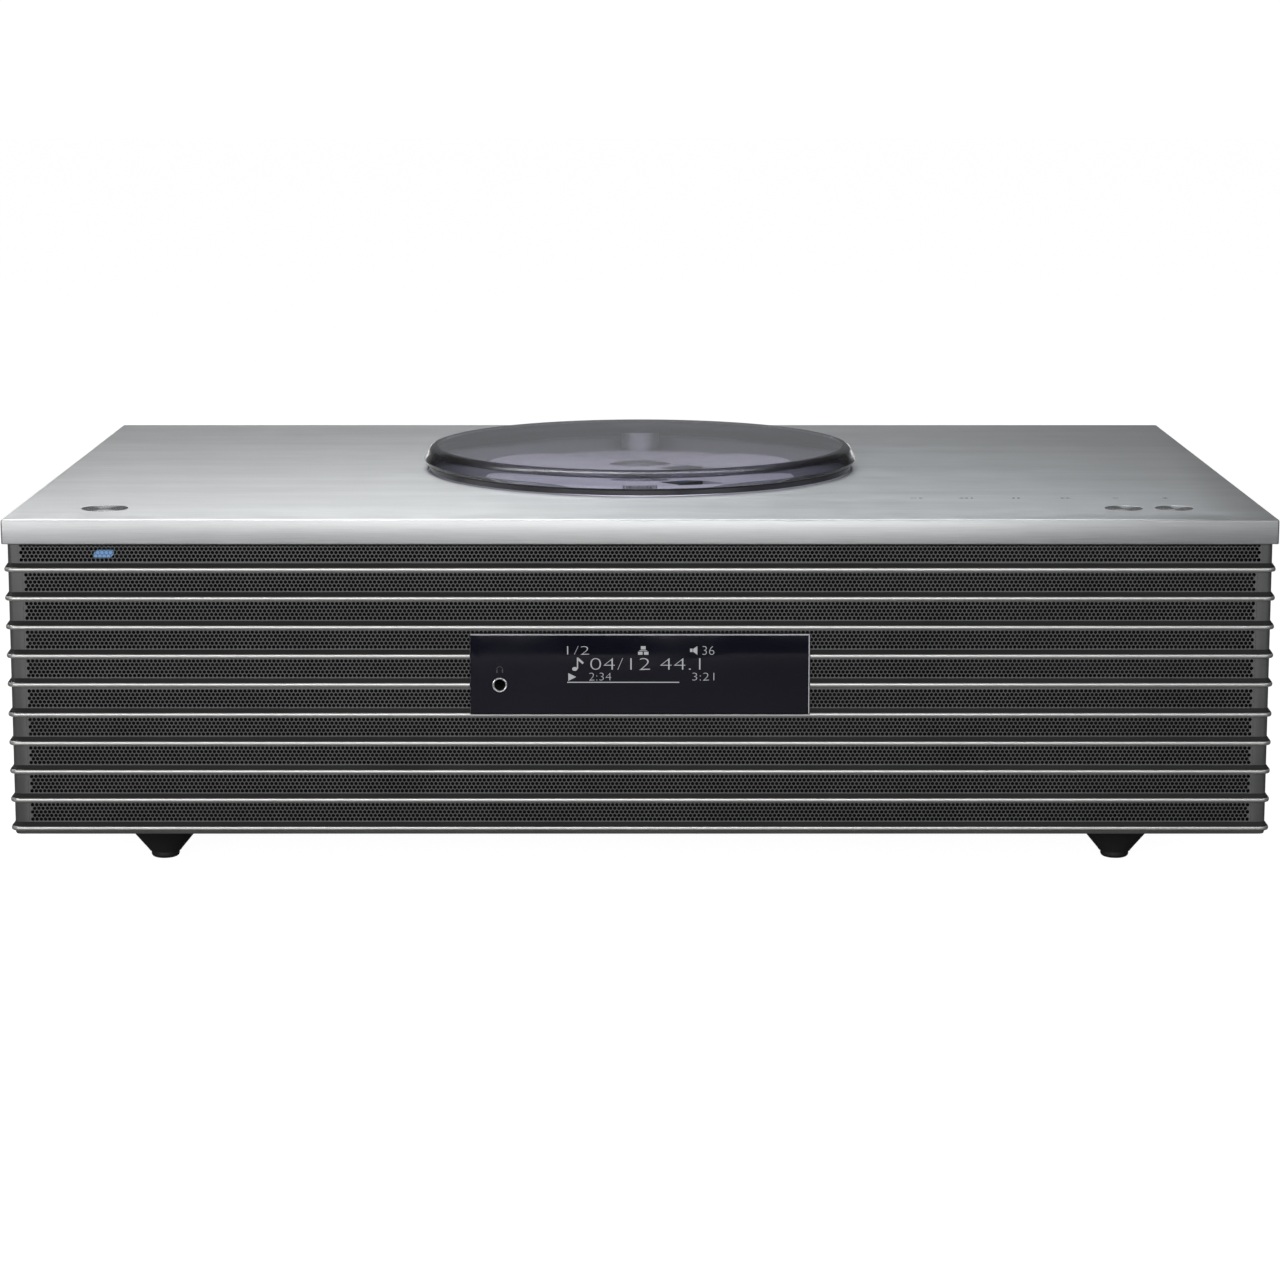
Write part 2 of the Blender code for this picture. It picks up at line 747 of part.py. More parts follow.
def make_spindle():
    profile = [
        (0, HUB_TOP),
        (4.5 * MM, HUB_TOP - 0.1 * MM),
        (6.6 * MM, HUB_TOP - 0.5 * MM),
        (HUB_RADIUS, HUB_TOP - 1.2 * MM),
        (HUB_RADIUS, HUB_FLANGE_Z[1]),
        (HUB_FLANGE, HUB_FLANGE_Z[1]),
        (HUB_FLANGE, HUB_FLANGE_Z[0]),
        (4 * MM, HUB_FLANGE_Z[0]),
        (3 * MM, SPINDLE_MOTOR_TOP + 0.4 * MM),
        (HUB_PIN, SPINDLE_MOTOR_TOP + 0.4 * MM),
        (HUB_PIN, SPINDLE_FOOT),
        (0, SPINDLE_FOOT),
    ]
    turned("turntable_hub", profile, "polished_metal")
    profile = [
        (HUB_PIN + GAP, SPINDLE_MOTOR_TOP),
        (SPINDLE_MOTOR_RADIUS - 1 * MM, SPINDLE_MOTOR_TOP),
        (SPINDLE_MOTOR_RADIUS, SPINDLE_MOTOR_TOP - 1 * MM),
        (SPINDLE_MOTOR_RADIUS, CHASSIS_TOP + GAP),
        (0, CHASSIS_TOP + GAP),
        (0, SPINDLE_FOOT - GAP),
        (HUB_PIN + GAP, SPINDLE_FOOT - GAP),
    ]
    turned("spindle_motor", profile, "steel", closed=True)


def make_mechanism(mechanism):
    """The pickup and its drive, modelled along the travel direction."""
    chassis = block(
        "mech_chassis",
        (CHASSIS_X[0], -CHASSIS_HALF_Y, CHASSIS_TOP - CHASSIS_THICK),
        (CHASSIS_X[1], CHASSIS_HALF_Y, CHASSIS_TOP),
        "steel",
        parent=mechanism,
    )
    lugs = []
    bores = [
        block(
            "sled_window",
            (SLED_WINDOW_X[0], -SLED_WINDOW_HALF_Y, CHASSIS_TOP - BEYOND),
            (SLED_WINDOW_X[1], SLED_WINDOW_HALF_Y, CHASSIS_TOP + BEYOND),
            parent=mechanism,
        )
    ]
    for number, (ends, outer) in enumerate(
        ((LUG_IN, SCREW_Y + 3 * MM), (LUG_OUT, RAIL_Y + 2.2 * MM))
    ):
        lugs.append(
            block(
                f"lug_screw_{number}",
                (ends[0], RAIL_Y - LUG_HALF, CHASSIS_TOP - LUG_SINK),
                (ends[1], outer, LUG_TOP),
                parent=mechanism,
            )
        )
        lugs.append(
            block(
                f"lug_plain_{number}",
                (ends[0], -RAIL_Y - LUG_HALF, CHASSIS_TOP - LUG_SINK),
                (ends[1], -RAIL_Y + LUG_HALF, LUG_TOP),
                parent=mechanism,
            )
        )
    for y, radius in ((RAIL_Y, RAIL_RADIUS), (-RAIL_Y, RAIL_RADIUS), (SCREW_Y, SCREW_RADIUS)):
        bores.append(
            rod(
                f"bore_{y:.3f}",
                radius + GAP,
                100 * MM,
                at=(-10 * MM, y, RAIL_Z),
                turn=ALONG_X,
                steps=TINY,
                parent=mechanism,
            )
        )
    combine(chassis, lugs, "UNION")
    combine(chassis, bores)
    rail_length = LUG_OUT[1] - LUG_IN[0] - 1 * MM
    for name, y in (("guide_rail_main", RAIL_Y), ("guide_rail_side", -RAIL_Y)):
        rod(
            name,
            RAIL_RADIUS,
            rail_length,
            "steel",
            at=(LUG_IN[0] + 0.5 * MM, y, RAIL_Z),
            turn=ALONG_X,
            steps=TINY,
            parent=mechanism,
        )
    make_sled(mechanism)
    rod(
        "feed_screw",
        SCREW_RADIUS,
        SCREW_END - LUG_IN[0],
        "contact_brass",
        at=(LUG_IN[0], SCREW_Y, RAIL_Z),
        turn=ALONG_X,
        steps=TINY,
        parent=mechanism,
    )
    motor_profile = [
        (0, MOTOR_LENGTH),
        (MOTOR_RADIUS, MOTOR_LENGTH),
        (MOTOR_RADIUS, 0),
        (SCREW_RADIUS + GAP, 0),
        (SCREW_RADIUS + GAP, 4 * MM),
        (0, 4 * MM),
    ]
    turned(
        "feed_motor",
        motor_profile,
        "steel",
        at=(MOTOR_X, SCREW_Y, RAIL_Z),
        turn=ALONG_X,
        steps=SMALL,
        parent=mechanism,
    )
    for number, (x, y) in enumerate(ISOLATORS, start=1):
        profile = [
            (0, TRAY_UNDER - GAP),
            (ISOLATOR_RADIUS, TRAY_UNDER - GAP),
            (ISOLATOR_RADIUS, 124.5 * MM),
            (ISOLATOR_WAIST, 122.2 * MM),
            (ISOLATOR_RADIUS, 119.8 * MM),
            (ISOLATOR_RADIUS, CHASSIS_TOP + GAP),
            (0, CHASSIS_TOP + GAP),
        ]
        turned(
            f"isolator_{number}",
            profile,
            "rubber_black",
            at=(x, y, 0),
            steps=SMALL,
            parent=mechanism,
        )


def make_sled(mechanism):
    sled = block(
        "pickup_sled",
        (SLED_X[0], -SLED_HALF_Y, SLED_Z[0]),
        (SLED_X[1], SLED_HALF_Y, SLED_Z[1]),
        "black_plastic",
        parent=mechanism,
    )
    half_x, half_y = LENS_BLOCK_HALF
    combine(
        sled,
        [
            block(
                "lens_block",
                (LENS_START - half_x, -half_y, SLED_Z[1] - 1.2 * MM),
                (LENS_START + half_x, half_y, BED_Z),
                parent=mechanism,
            ),
            block(
                "sled_arm",
                (SLED_X[0], SLED_HALF_Y - 2 * MM, 118.5 * MM),
                (22 * MM, SCREW_Y - SCREW_RADIUS - GAP, 124.5 * MM),
                parent=mechanism,
            ),
        ],
        "UNION",
    )
    combine(
        sled,
        [
            rod(
                f"sled_bore_{side}",
                RAIL_RADIUS + GAP,
                60 * MM,
                at=(0, side * RAIL_Y, RAIL_Z),
                turn=ALONG_X,
                steps=TINY,
                parent=mechanism,
            )
            for side in (-1, 1)
        ],
    )
    profile = [
        (0, BED_Z + 0.8 * MM),
        (1.4 * MM, BED_Z + 0.7 * MM),
        (2.2 * MM, BED_Z + 0.4 * MM),
        (2.2 * MM, BED_Z + GAP),
        (0, BED_Z + GAP),
    ]
    turned("pickup_lens", profile, "lens_glass", at=(LENS_START, 0, 0), steps=SMALL, parent=mechanism)


def driver_frame(name, finish, rim, flange, hole, depth, **place):
    """A speaker's basket and magnet: a flanged cup. Its +Z is the way the cone fires."""
    lip = 2.3 * MM
    profile = [
        (rim, lip),
        (flange, lip),
        (flange, GAP),
        (hole - GAP, GAP),
        (hole - GAP, -4 * MM),
        (0.62 * hole, -0.62 * depth),
        (0.75 * hole, -0.62 * depth),
        (0.75 * hole, -depth),
        (0, -depth),
        (0, -0.62 * depth),
        (0.40 * hole, -0.62 * depth),
        (rim, -6.5 * MM),
    ]
    return turned(name, profile, finish, closed=True, **place)


def driver_cone(name, rim, neck, depth, **place):
    """A speaker's cone with its surround, dust cap and voice-coil former."""
    roll = rim - 4.5 * MM
    skin = 1.2 * MM
    profile = [
        (0, -depth + 4.5 * MM),
        (neck * 0.7, -depth + 3.4 * MM),
        (neck, -depth + skin),
        (roll, skin),
        (roll + 1.2 * MM, skin + 1.0 * MM),
        (rim - 1.2 * MM, skin + 1.0 * MM),
        (rim, skin),
        (rim, 0),
        (roll, 0),
        (neck, -depth),
        (neck, -depth - 5 * MM),
        (neck - 1 * MM, -depth - 5 * MM),
        (neck - 1 * MM, -depth + 1.2 * MM),
        (neck * 0.7, -depth + 2.2 * MM),
        (0, -depth + 3.3 * MM),
    ]
    turned(name, profile, "cone_fibre", **place)


def make_front_speakers():
    for name, side in SIDES:
        outer = across(side, *BOX_X)
        inner = across(side, BOX_X[0] + BOX_WALL, BOX_X[1] - BOX_WALL)
        bottom, top = BOX_Z
        box = block(
            f"speaker_box_{name}",
            (outer[0], BAFFLE_Y, bottom),
            (outer[1], BOX_REAR, top),
            "black_plastic",
        )
        woofer = (side * WOOFER_X, BAFFLE_Y, WOOFER_Z)
        tweeter = (side * TWEETER_X, BAFFLE_Y, TWEETER_Z)
        forward = Vector((0, -10 * MM, 0))
        combine(
            box,
            [
                block(
                    f"box_inside_{name}",
                    (inner[0], BAFFLE_Y + BOX_WALL, bottom + BOX_WALL),
                    (inner[1], BOX_REAR - BOX_WALL, top - BOX_WALL),
                ),
                rod(
                    f"woofer_hole_{name}",
                    WOOFER_HOLE,
                    20 * MM,
                    at=Vector(woofer) - forward,
                    turn=TO_FRONT,
                ),
                rod(
                    f"tweeter_hole_{name}",
                    TWEETER_HOLE,
                    20 * MM,
                    at=Vector(tweeter) - forward,
                    turn=TO_FRONT,
                ),
            ],
        )
        driver_frame(
            f"woofer_frame_{name}",
            "black_metal",
            WOOFER_RIM,
            WOOFER_FLANGE,
            WOOFER_HOLE,
            WOOFER_DEPTH,
            at=woofer,
            turn=TO_FRONT,
        )
        driver_cone(f"woofer_cone_{name}", *WOOFER_CONE, at=woofer, turn=TO_FRONT)
        profile = [
            (0, 3.4 * MM),
            (4 * MM, 3.0 * MM),
            (7.5 * MM, 1.2 * MM),
            (9 * MM, 1.4 * MM),
            (12.5 * MM, 2.6 * MM),
            (TWEETER_FLANGE, 2.3 * MM),
            (TWEETER_FLANGE, GAP),
            (TWEETER_HOLE - GAP, GAP),
            (TWEETER_HOLE - GAP, -TWEETER_DEPTH),
            (0, -TWEETER_DEPTH),
        ]
        turned(f"tweeter_{name}", profile, "cone_fibre", at=tweeter, turn=TO_FRONT, steps=SMALL)


def bass_basket(name, mouth):
    """The bass speaker's basket, fixed on the inner side of the base plate and firing through its hole."""
    rim, flange, depth = 55 * MM, 62 * MM, 52 * MM
    profile = [
        (rim, -GAP),
        (flange, -GAP),
        (flange, -2.8 * MM),
        (rim + 1.5 * MM, -2.8 * MM),
        (rim + 1.5 * MM, -9 * MM),
        (32 * MM, -34 * MM),
        (40 * MM, -34 * MM),
        (40 * MM, -depth),
        (0, -depth),
        (0, -36 * MM),
        (24 * MM, -36 * MM),
        (rim, -12 * MM),
    ]
    return turned(name, profile, "black_metal", at=mouth, turn=TO_FLOOR, steps=BASS, closed=True)


def make_subwoofer():
    front, rear = SUB_BOX_Y
    bottom = BASE_TOP + GAP
    shell = block(
        "subwoofer_box",
        (-SUB_BOX_X, front, bottom),
        (SUB_BOX_X, rear, SUB_BOX_TOP),
        "black_plastic",
    )
    combine(
        shell,
        [
            block(
                "sub_inside",
                (-SUB_BOX_X + BOX_WALL, front + BOX_WALL, bottom - BEYOND),
                (SUB_BOX_X - BOX_WALL, rear - BOX_WALL, SUB_BOX_TOP - BOX_WALL),
            ),
            rod(
                "port_hole",
                PORT_RADIUS + GAP,
                30 * MM,
                at=(PORT_X, rear + 10 * MM, PORT_Z),
                turn=TO_FRONT,
            ),
        ],
    )
    bass_basket("subwoofer_frame", (0, SUB_Y, BASE_TOP))
    driver_cone(
        "subwoofer_cone",
        *SUB_CONE,
        at=(0, SUB_Y, SUB_CONE_Z),
        turn=TO_FLOOR,
        steps=BASS,
    )
    port_rear = REAR_Y + REAR_THICK
    profile = [
        (PORT_BORE, port_rear - PORT_FRONT),
        (PORT_RADIUS, port_rear - PORT_FRONT),
        (PORT_RADIUS, 0),
        (PORT_BORE, 0),
    ]
    turned(
        "bass_port",
        profile,
        "black_plastic",
        at=(PORT_X, PORT_FRONT, PORT_Z),
        turn=TO_REAR,
        steps=ROUND,
        closed=True,
    )


def make_electronics():
    for name, side in (("main_board", -1), ("power_board", 1)):
        left, right = across(side, *BOARD_X)
        block(
            name,
            (left, BOARD_Y[0], BOARD_UNDER),
            (right, BOARD_Y[1], BOARD_UNDER + BOARD_THICK),
            "board_green",
        )
    stand = BOARD_UNDER + BOARD_THICK + GAP
    fin_top = stand + FIN_ROOT + FIN_HEIGHT
    sink = block(
        "heat_sink",
        (SINK_LEFT, SINK_Y[0], stand),
        (SINK_LEFT + (FIN_COUNT - 1) * FIN_PITCH + FIN_THICK, SINK_Y[1], fin_top),
        "sink_aluminium",
    )
    spaces = []
    for number in range(FIN_COUNT - 1):
        left = SINK_LEFT + number * FIN_PITCH
        spaces.append(
            block(
                f"fin_space_{number}",
                (left + FIN_THICK, SINK_Y[0] - BEYOND, stand + FIN_ROOT),
                (left + FIN_PITCH, SINK_Y[1] + BEYOND, fin_top + BEYOND),
            )
        )
    combine(sink, spaces)
    shoulder = TRANSFORMER_RADIUS - 3 * MM
    top = stand + TRANSFORMER_HEIGHT
    profile = [
        (TRANSFORMER_HOLE, top),
        (shoulder, top),
        (TRANSFORMER_RADIUS, top - 3 * MM),
        (TRANSFORMER_RADIUS, stand + 3 * MM),
        (shoulder, stand),
        (TRANSFORMER_HOLE, stand),
    ]
    turned("transformer", profile, "core_steel", at=TRANSFORMER_AT, closed=True)


def make_feet():
    for front, depth_side in (("front", -1), ("rear", 1)):
        for name, side in SIDES:
            profile = [
                (0, BASE_BOTTOM - GAP),
                (FOOT_RADIUS, BASE_BOTTOM - GAP),
                (FOOT_RADIUS, BASE_BOTTOM - 1 * MM),
                (5.6 * MM, 2.3 * MM),
                (5.2 * MM, 0.9 * MM),
                (4.0 * MM, 0),
                (0, 0),
            ]
            turned(
                f"foot_{front}_{name}",
                profile,
                "rubber_black",
                at=(side * FOOT_X, depth_side * FOOT_Y, 0),
            )


def main():
    mechanism = bpy.data.objects.new("mechanism_axis", None)
    mechanism.rotation_euler = (0, 0, PICKUP_ANGLE)
    PARTS.objects.link(mechanism)
    make_top_plate()
    make_louvre_frame()
    make_grille_and_panels()
    make_rear()
    make_display()
    make_lid()
    make_tray(mechanism)
    make_buttons()
    make_spindle()
    make_mechanism(mechanism)
    make_front_speakers()
    make_subwoofer()
    make_electronics()
    make_feet()


main()
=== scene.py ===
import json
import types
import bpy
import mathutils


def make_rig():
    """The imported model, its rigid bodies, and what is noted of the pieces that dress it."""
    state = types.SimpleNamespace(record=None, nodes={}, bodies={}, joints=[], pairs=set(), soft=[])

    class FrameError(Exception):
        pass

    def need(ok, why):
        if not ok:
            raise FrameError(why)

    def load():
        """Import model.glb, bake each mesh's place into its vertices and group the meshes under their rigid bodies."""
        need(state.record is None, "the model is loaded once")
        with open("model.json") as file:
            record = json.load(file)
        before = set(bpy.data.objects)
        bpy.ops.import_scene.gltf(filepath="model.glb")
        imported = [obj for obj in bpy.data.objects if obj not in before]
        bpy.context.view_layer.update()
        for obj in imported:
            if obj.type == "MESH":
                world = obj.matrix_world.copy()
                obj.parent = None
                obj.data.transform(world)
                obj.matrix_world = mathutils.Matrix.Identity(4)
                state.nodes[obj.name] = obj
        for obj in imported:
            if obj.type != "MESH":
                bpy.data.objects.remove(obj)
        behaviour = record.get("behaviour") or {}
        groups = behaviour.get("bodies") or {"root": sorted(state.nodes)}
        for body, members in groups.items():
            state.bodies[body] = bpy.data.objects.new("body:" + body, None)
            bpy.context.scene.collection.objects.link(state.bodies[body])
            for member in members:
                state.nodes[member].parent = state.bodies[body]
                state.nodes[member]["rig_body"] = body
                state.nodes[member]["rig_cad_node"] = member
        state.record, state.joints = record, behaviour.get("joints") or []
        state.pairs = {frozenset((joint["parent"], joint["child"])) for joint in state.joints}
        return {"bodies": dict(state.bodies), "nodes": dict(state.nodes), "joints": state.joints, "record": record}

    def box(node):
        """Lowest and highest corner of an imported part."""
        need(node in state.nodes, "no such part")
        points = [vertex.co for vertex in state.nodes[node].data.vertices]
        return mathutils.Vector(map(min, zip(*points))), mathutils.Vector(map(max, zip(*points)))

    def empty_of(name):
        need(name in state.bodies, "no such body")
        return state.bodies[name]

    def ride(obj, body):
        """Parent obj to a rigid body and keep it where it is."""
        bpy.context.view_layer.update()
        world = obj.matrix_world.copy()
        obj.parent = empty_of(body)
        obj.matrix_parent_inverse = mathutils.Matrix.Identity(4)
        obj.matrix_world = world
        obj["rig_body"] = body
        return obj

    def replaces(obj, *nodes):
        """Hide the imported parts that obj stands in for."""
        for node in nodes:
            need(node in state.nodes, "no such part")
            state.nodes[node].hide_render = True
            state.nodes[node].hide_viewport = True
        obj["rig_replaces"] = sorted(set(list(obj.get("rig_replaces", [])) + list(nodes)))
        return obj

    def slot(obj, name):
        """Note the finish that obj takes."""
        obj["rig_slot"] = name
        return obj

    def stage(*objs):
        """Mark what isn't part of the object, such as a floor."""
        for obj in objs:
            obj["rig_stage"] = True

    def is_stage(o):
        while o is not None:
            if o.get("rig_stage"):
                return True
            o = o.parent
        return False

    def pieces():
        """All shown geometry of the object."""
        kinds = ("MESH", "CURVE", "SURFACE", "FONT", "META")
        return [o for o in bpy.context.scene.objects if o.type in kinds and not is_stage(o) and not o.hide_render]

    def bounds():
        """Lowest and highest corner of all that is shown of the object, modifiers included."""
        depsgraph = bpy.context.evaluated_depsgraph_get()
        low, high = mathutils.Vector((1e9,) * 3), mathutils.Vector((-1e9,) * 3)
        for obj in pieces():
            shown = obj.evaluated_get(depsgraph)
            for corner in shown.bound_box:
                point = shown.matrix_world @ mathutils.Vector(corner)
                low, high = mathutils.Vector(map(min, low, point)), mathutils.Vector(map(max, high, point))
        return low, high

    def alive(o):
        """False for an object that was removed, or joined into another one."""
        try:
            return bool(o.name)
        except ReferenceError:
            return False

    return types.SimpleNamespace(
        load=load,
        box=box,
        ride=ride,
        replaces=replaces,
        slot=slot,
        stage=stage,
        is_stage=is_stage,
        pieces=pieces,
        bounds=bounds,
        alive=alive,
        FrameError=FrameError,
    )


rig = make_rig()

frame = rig.load()

import json
import math

import bmesh
import bpy
import numpy as np
from mathutils import Euler, Matrix, Vector

CAD_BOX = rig.bounds()
MM = 0.001
GAP = 0.3 * MM
ON_AXIS = 1e-7  # a turned profile's radius that counts as none
BEYOND = 5 * MM  # how far a cutter reaches past what it cuts
CASE = "case"
BUTTONS = ("power_button", "play_button", "select_button")
TO_FRONT = (math.pi / 2, 0, 0)

# ---------------------------------------------------------------- measures taken from the frame


def low(node):
    return Vector(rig.box(node)[0])


def high(node):
    return Vector(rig.box(node)[1])


def middle(node):
    return (low(node) + high(node)) / 2


PLATE_LOW, PLATE_HIGH = low("top_plate"), high("top_plate")
PLATE_TOP, PLATE_BOTTOM = PLATE_HIGH.z, PLATE_LOW.z
PLATE_SKIN = 3.0 * MM
PLATE_RIM = 3.5 * MM
PLATE_EDGE = 0.8 * MM
PLATE_LOWER_EDGE = 0.35 * MM
HOLE_CHAMFER = 0.03 * MM
ON_PLANE = 0.01 * MM  # how near a plane a vertex counts as on it
LOUVRE_LOW, LOUVRE_HIGH = low("louvre_frame"), high("louvre_frame")
NOSE_PROUD = 1.4 * MM
FLAT_X = LOUVRE_HIGH.x - NOSE_PROUD
FLAT_Y = LOUVRE_LOW.y + NOSE_PROUD
WALL_TOP, BODY_BOTTOM = LOUVRE_HIGH.z, LOUVRE_LOW.z
WALL_REAR = LOUVRE_HIGH.y
WALL = 1.8 * MM
CORNER_RADIUS = 2.0 * MM
POST_X = 218 * MM
WINDOW_LOW, WINDOW_HIGH = low("display_window"), high("display_window")
LID_HIGH = high("lid")
LID_TOP, LID_RADIUS = LID_HIGH.z, LID_HIGH.x
LID_FOOT = low("lid").z
LID_SKIN = 3.0 * MM
LID_SPLIT = 79.4 * MM  # where the clear disc meets the skirt round it
LID_SKIRT = 2.6 * MM
LID_WIDEST = PLATE_TOP + 4.4 * MM
LID_SEAM = PLATE_TOP + 2.9 * MM
LID_SEAM_INSET = 1.04 * MM
LID_LIP = PLATE_TOP + 0.45 * MM
JOIN = 0.02 * MM  # left between pieces that meet face to face
WELL_RADIUS = 83.4 * MM
BED_RADIUS = 60.5 * MM
BED_Z = 130.3 * MM
SLOPE_EDGE = 77.5 * MM
BED_BORE = 12 * MM
SLOT_INNER, SLOT_OUTER, SLOT_HALF = 17.5 * MM, 62.5 * MM, 8 * MM
SHAFT_BORE = 8.1 * MM
WELL_CUT = (120 * MM, 140 * MM)  # heights between which the well's cutters reach
PIVOT = middle("lid_shaft")
ROUND_STEPS = 192  # sides of the lid's and the well's turned pieces

BUTTON_COLLAR = 1.4 * MM
BUTTON_DISH = 0.15 * MM
BUTTON_EDGE = 0.15 * MM
DISH_SHARE = 0.93  # of the cap's radius
COLLAR_TOP, COLLAR_UNDER = PLATE_TOP - 3.6 * MM, PLATE_TOP - 5.4 * MM
STEM_RADIUS = 2 * MM

MARK_SIZE = 1.1 * MM
MARK_ROW_Y = -86.3 * MM
MARK_FIRST_X, MARK_PITCH = 101.7 * MM, 18.27 * MM
MARK_Z, MARK_THICKNESS = PLATE_TOP + 0.01 * MM, 0.02 * MM

RIB_COUNT = 10
RIB_TOP_Z = 115.38 * MM
RIB_PITCH = 10.335 * MM
RIB_MIDDLE_EXTRA = 0.5 * MM
NOSE_HEIGHT = 1.57 * MM
SLOPE_RISE = 1.45 * MM

HOLE_PITCH = 1.5 * MM
HOLE_ROW = 1.31 * MM
HOLE_RADIUS = 0.68 * MM
HOLE_ROWS = 5
HOLE_SIDES = 8
LOWEST_ROW = 3.2 * MM  # above the middle of the rib's nose below it
FIRST_BAND_RAISE = 0.22 * MM
FIRST_BAND_X = 219.4 * MM
SHEET = 0.12 * MM
CLOTH_GAP, CLOTH = 0.15 * MM, 0.3 * MM

TRIM = 0.3 * MM
JACK_BORE = 1.95 * MM
JACK_ROUND = 0.45 * MM
JACK_RING = 1 * MM
SLEEVE_END, SLEEVE_FLOOR = -15 * MM, -13 * MM
SCREEN_Y = WINDOW_LOW.y - 0.01 * MM  # the lit figures stand on the window's face
FIGURE_DEPTH = 0.03 * MM
FIGURE_THINNING = -0.024  # curve offset, in units of the letter's height


def rib_z(index):
    return RIB_TOP_Z - index * RIB_PITCH - (RIB_MIDDLE_EXTRA if index >= RIB_COUNT // 2 else 0)


# ---------------------------------------------------------------- materials

MIX_FACTOR, MIX_A, MIX_B, MIX_RESULT = 0, 6, 7, 2  # a Mix node's sockets when it mixes colours
ACRYLIC_IOR = 1.06  # close to air, so what is inside the lid isn't bent out of place
RING_FREQUENCY = 5000  # turning marks of a button's face, per metre


class Shader:
    """A small helper round one material's node tree."""

    def __init__(self, name, colour, roughness, metallic=0.0, **sockets):
        self.material = bpy.data.materials.new(name)
        self.material.use_nodes = True
        self.tree = self.material.node_tree
        self.bsdf = self.tree.nodes["Principled BSDF"]
        self.colour = colour
        self.set("Base Color", (*colour, 1))
        self.set("Roughness", roughness)
        self.set("Metallic", metallic)
        for socket, value in sockets.items():
            self.set(socket.replace("_", " "), value)

    def set(self, socket, value):
        self.bsdf.inputs[socket].default_value = value

    def node(self, kind, **values):
        made = self.tree.nodes.new(kind)
        for key, value in values.items():
            if key in made.inputs:
                made.inputs[key].default_value = value
            else:
                setattr(made, key, value)
        return made

    def link(self, output, target):
        self.tree.links.new(output, target)

    def noise(self, scale, stretch=(1, 1, 1), detail=3.0):
        """Noise in the object's own metres; stretch multiplies the frequency along each axis."""
        place = self.node("ShaderNodeTexCoord")
        mapping = self.node("ShaderNodeMapping")
        mapping.inputs["Scale"].default_value = stretch
        texture = self.node("ShaderNodeTexNoise")
        texture.inputs["Scale"].default_value = scale
        texture.inputs["Detail"].default_value = detail
        self.link(place.outputs["Object"], mapping.inputs["Vector"])
        self.link(mapping.outputs["Vector"], texture.inputs["Vector"])
        return texture.outputs["Fac"]

    def ramp(self, source, low_value, high_value, start=0.3, end=0.7):
        spread = self.node("ShaderNodeMapRange")
        spread.inputs["From Min"].default_value = start
        spread.inputs["From Max"].default_value = end
        spread.inputs["To Min"].default_value = low_value
        spread.inputs["To Max"].default_value = high_value
        self.link(source, spread.inputs["Value"])
        return spread.outputs["Result"]

    def vary_roughness(self, source, low_value, high_value):
        self.link(self.ramp(source, low_value, high_value), self.bsdf.inputs["Roughness"])

    def vary_colour(self, source, darker, lighter, start=0.3, end=0.7):
        """Multiplies the base colour by a factor that follows the source."""
        mix = self.node("ShaderNodeMix", data_type="RGBA")
        mix.inputs[MIX_A].default_value = (*[c * darker for c in self.colour], 1)
        mix.inputs[MIX_B].default_value = (*[min(1, c * lighter) for c in self.colour], 1)
        self.link(self.ramp(source, 0, 1, start, end), mix.inputs[MIX_FACTOR])
        self.link(mix.outputs[MIX_RESULT], self.bsdf.inputs["Base Color"])

    def bump(self, source, distance, strength=1.0):
        made = self.node("ShaderNodeBump")
        made.inputs["Strength"].default_value = strength
        made.inputs["Distance"].default_value = distance
        self.link(source, made.inputs["Height"])
        self.link(made.outputs["Normal"], self.bsdf.inputs["Normal"])


def brushed(name, colour, roughness, stretch, across=None, anisotropic=0.0, depth=0.00002):
    """Metal with fine parallel lines; its highlight spreads along across, square to the lines."""
    shader = Shader(name, colour, roughness, 1.0, Anisotropic=anisotropic)
    if across:
        spread = shader.node("ShaderNodeCombineXYZ", X=across[0], Y=across[1], Z=across[2])
        shader.link(spread.outputs["Vector"], shader.bsdf.inputs["Tangent"])
    fine = shader.noise(1.0, stretch, 4.0)
    broad = shader.noise(1.0, tuple(s * 0.1 for s in stretch), 3.0)
    both = shader.node("ShaderNodeMath", operation="ADD")
    shader.link(fine, both.inputs[0])
    shader.link(broad, both.inputs[1])
    shader.vary_colour(both.outputs["Value"], 0.9, 1.08, 0.7, 1.3)
    shader.vary_roughness(fine, roughness - 0.03, roughness + 0.03)
    shader.bump(fine, depth, 0.12)
    return shader.material


def speckled(name, colour, roughness, metallic=0.0, grain=2500, depth=0.00003, **sockets):
    """Paint, moulded plastic or rubber with a fine grain and a slow change of gloss."""
    shader = Shader(name, colour, roughness, metallic, **sockets)
    fine = shader.noise(grain)
    broad = shader.noise(35, detail=4.0)
    shader.vary_colour(broad, 0.88, 1.1)
    shader.vary_roughness(broad, max(0.02, roughness - 0.05), roughness + 0.07)
    shader.bump(fine, depth, 0.5)
    return shader.material


def polished(name, colour, roughness):
    shader = Shader(name, colour, roughness, 1.0)
    marks = shader.noise(900, (1, 1, 4), 4.0)
    shader.vary_roughness(marks, roughness * 0.9, roughness * 1.15)
    shader.vary_colour(marks, 0.96, 1.02)
    return shader.material


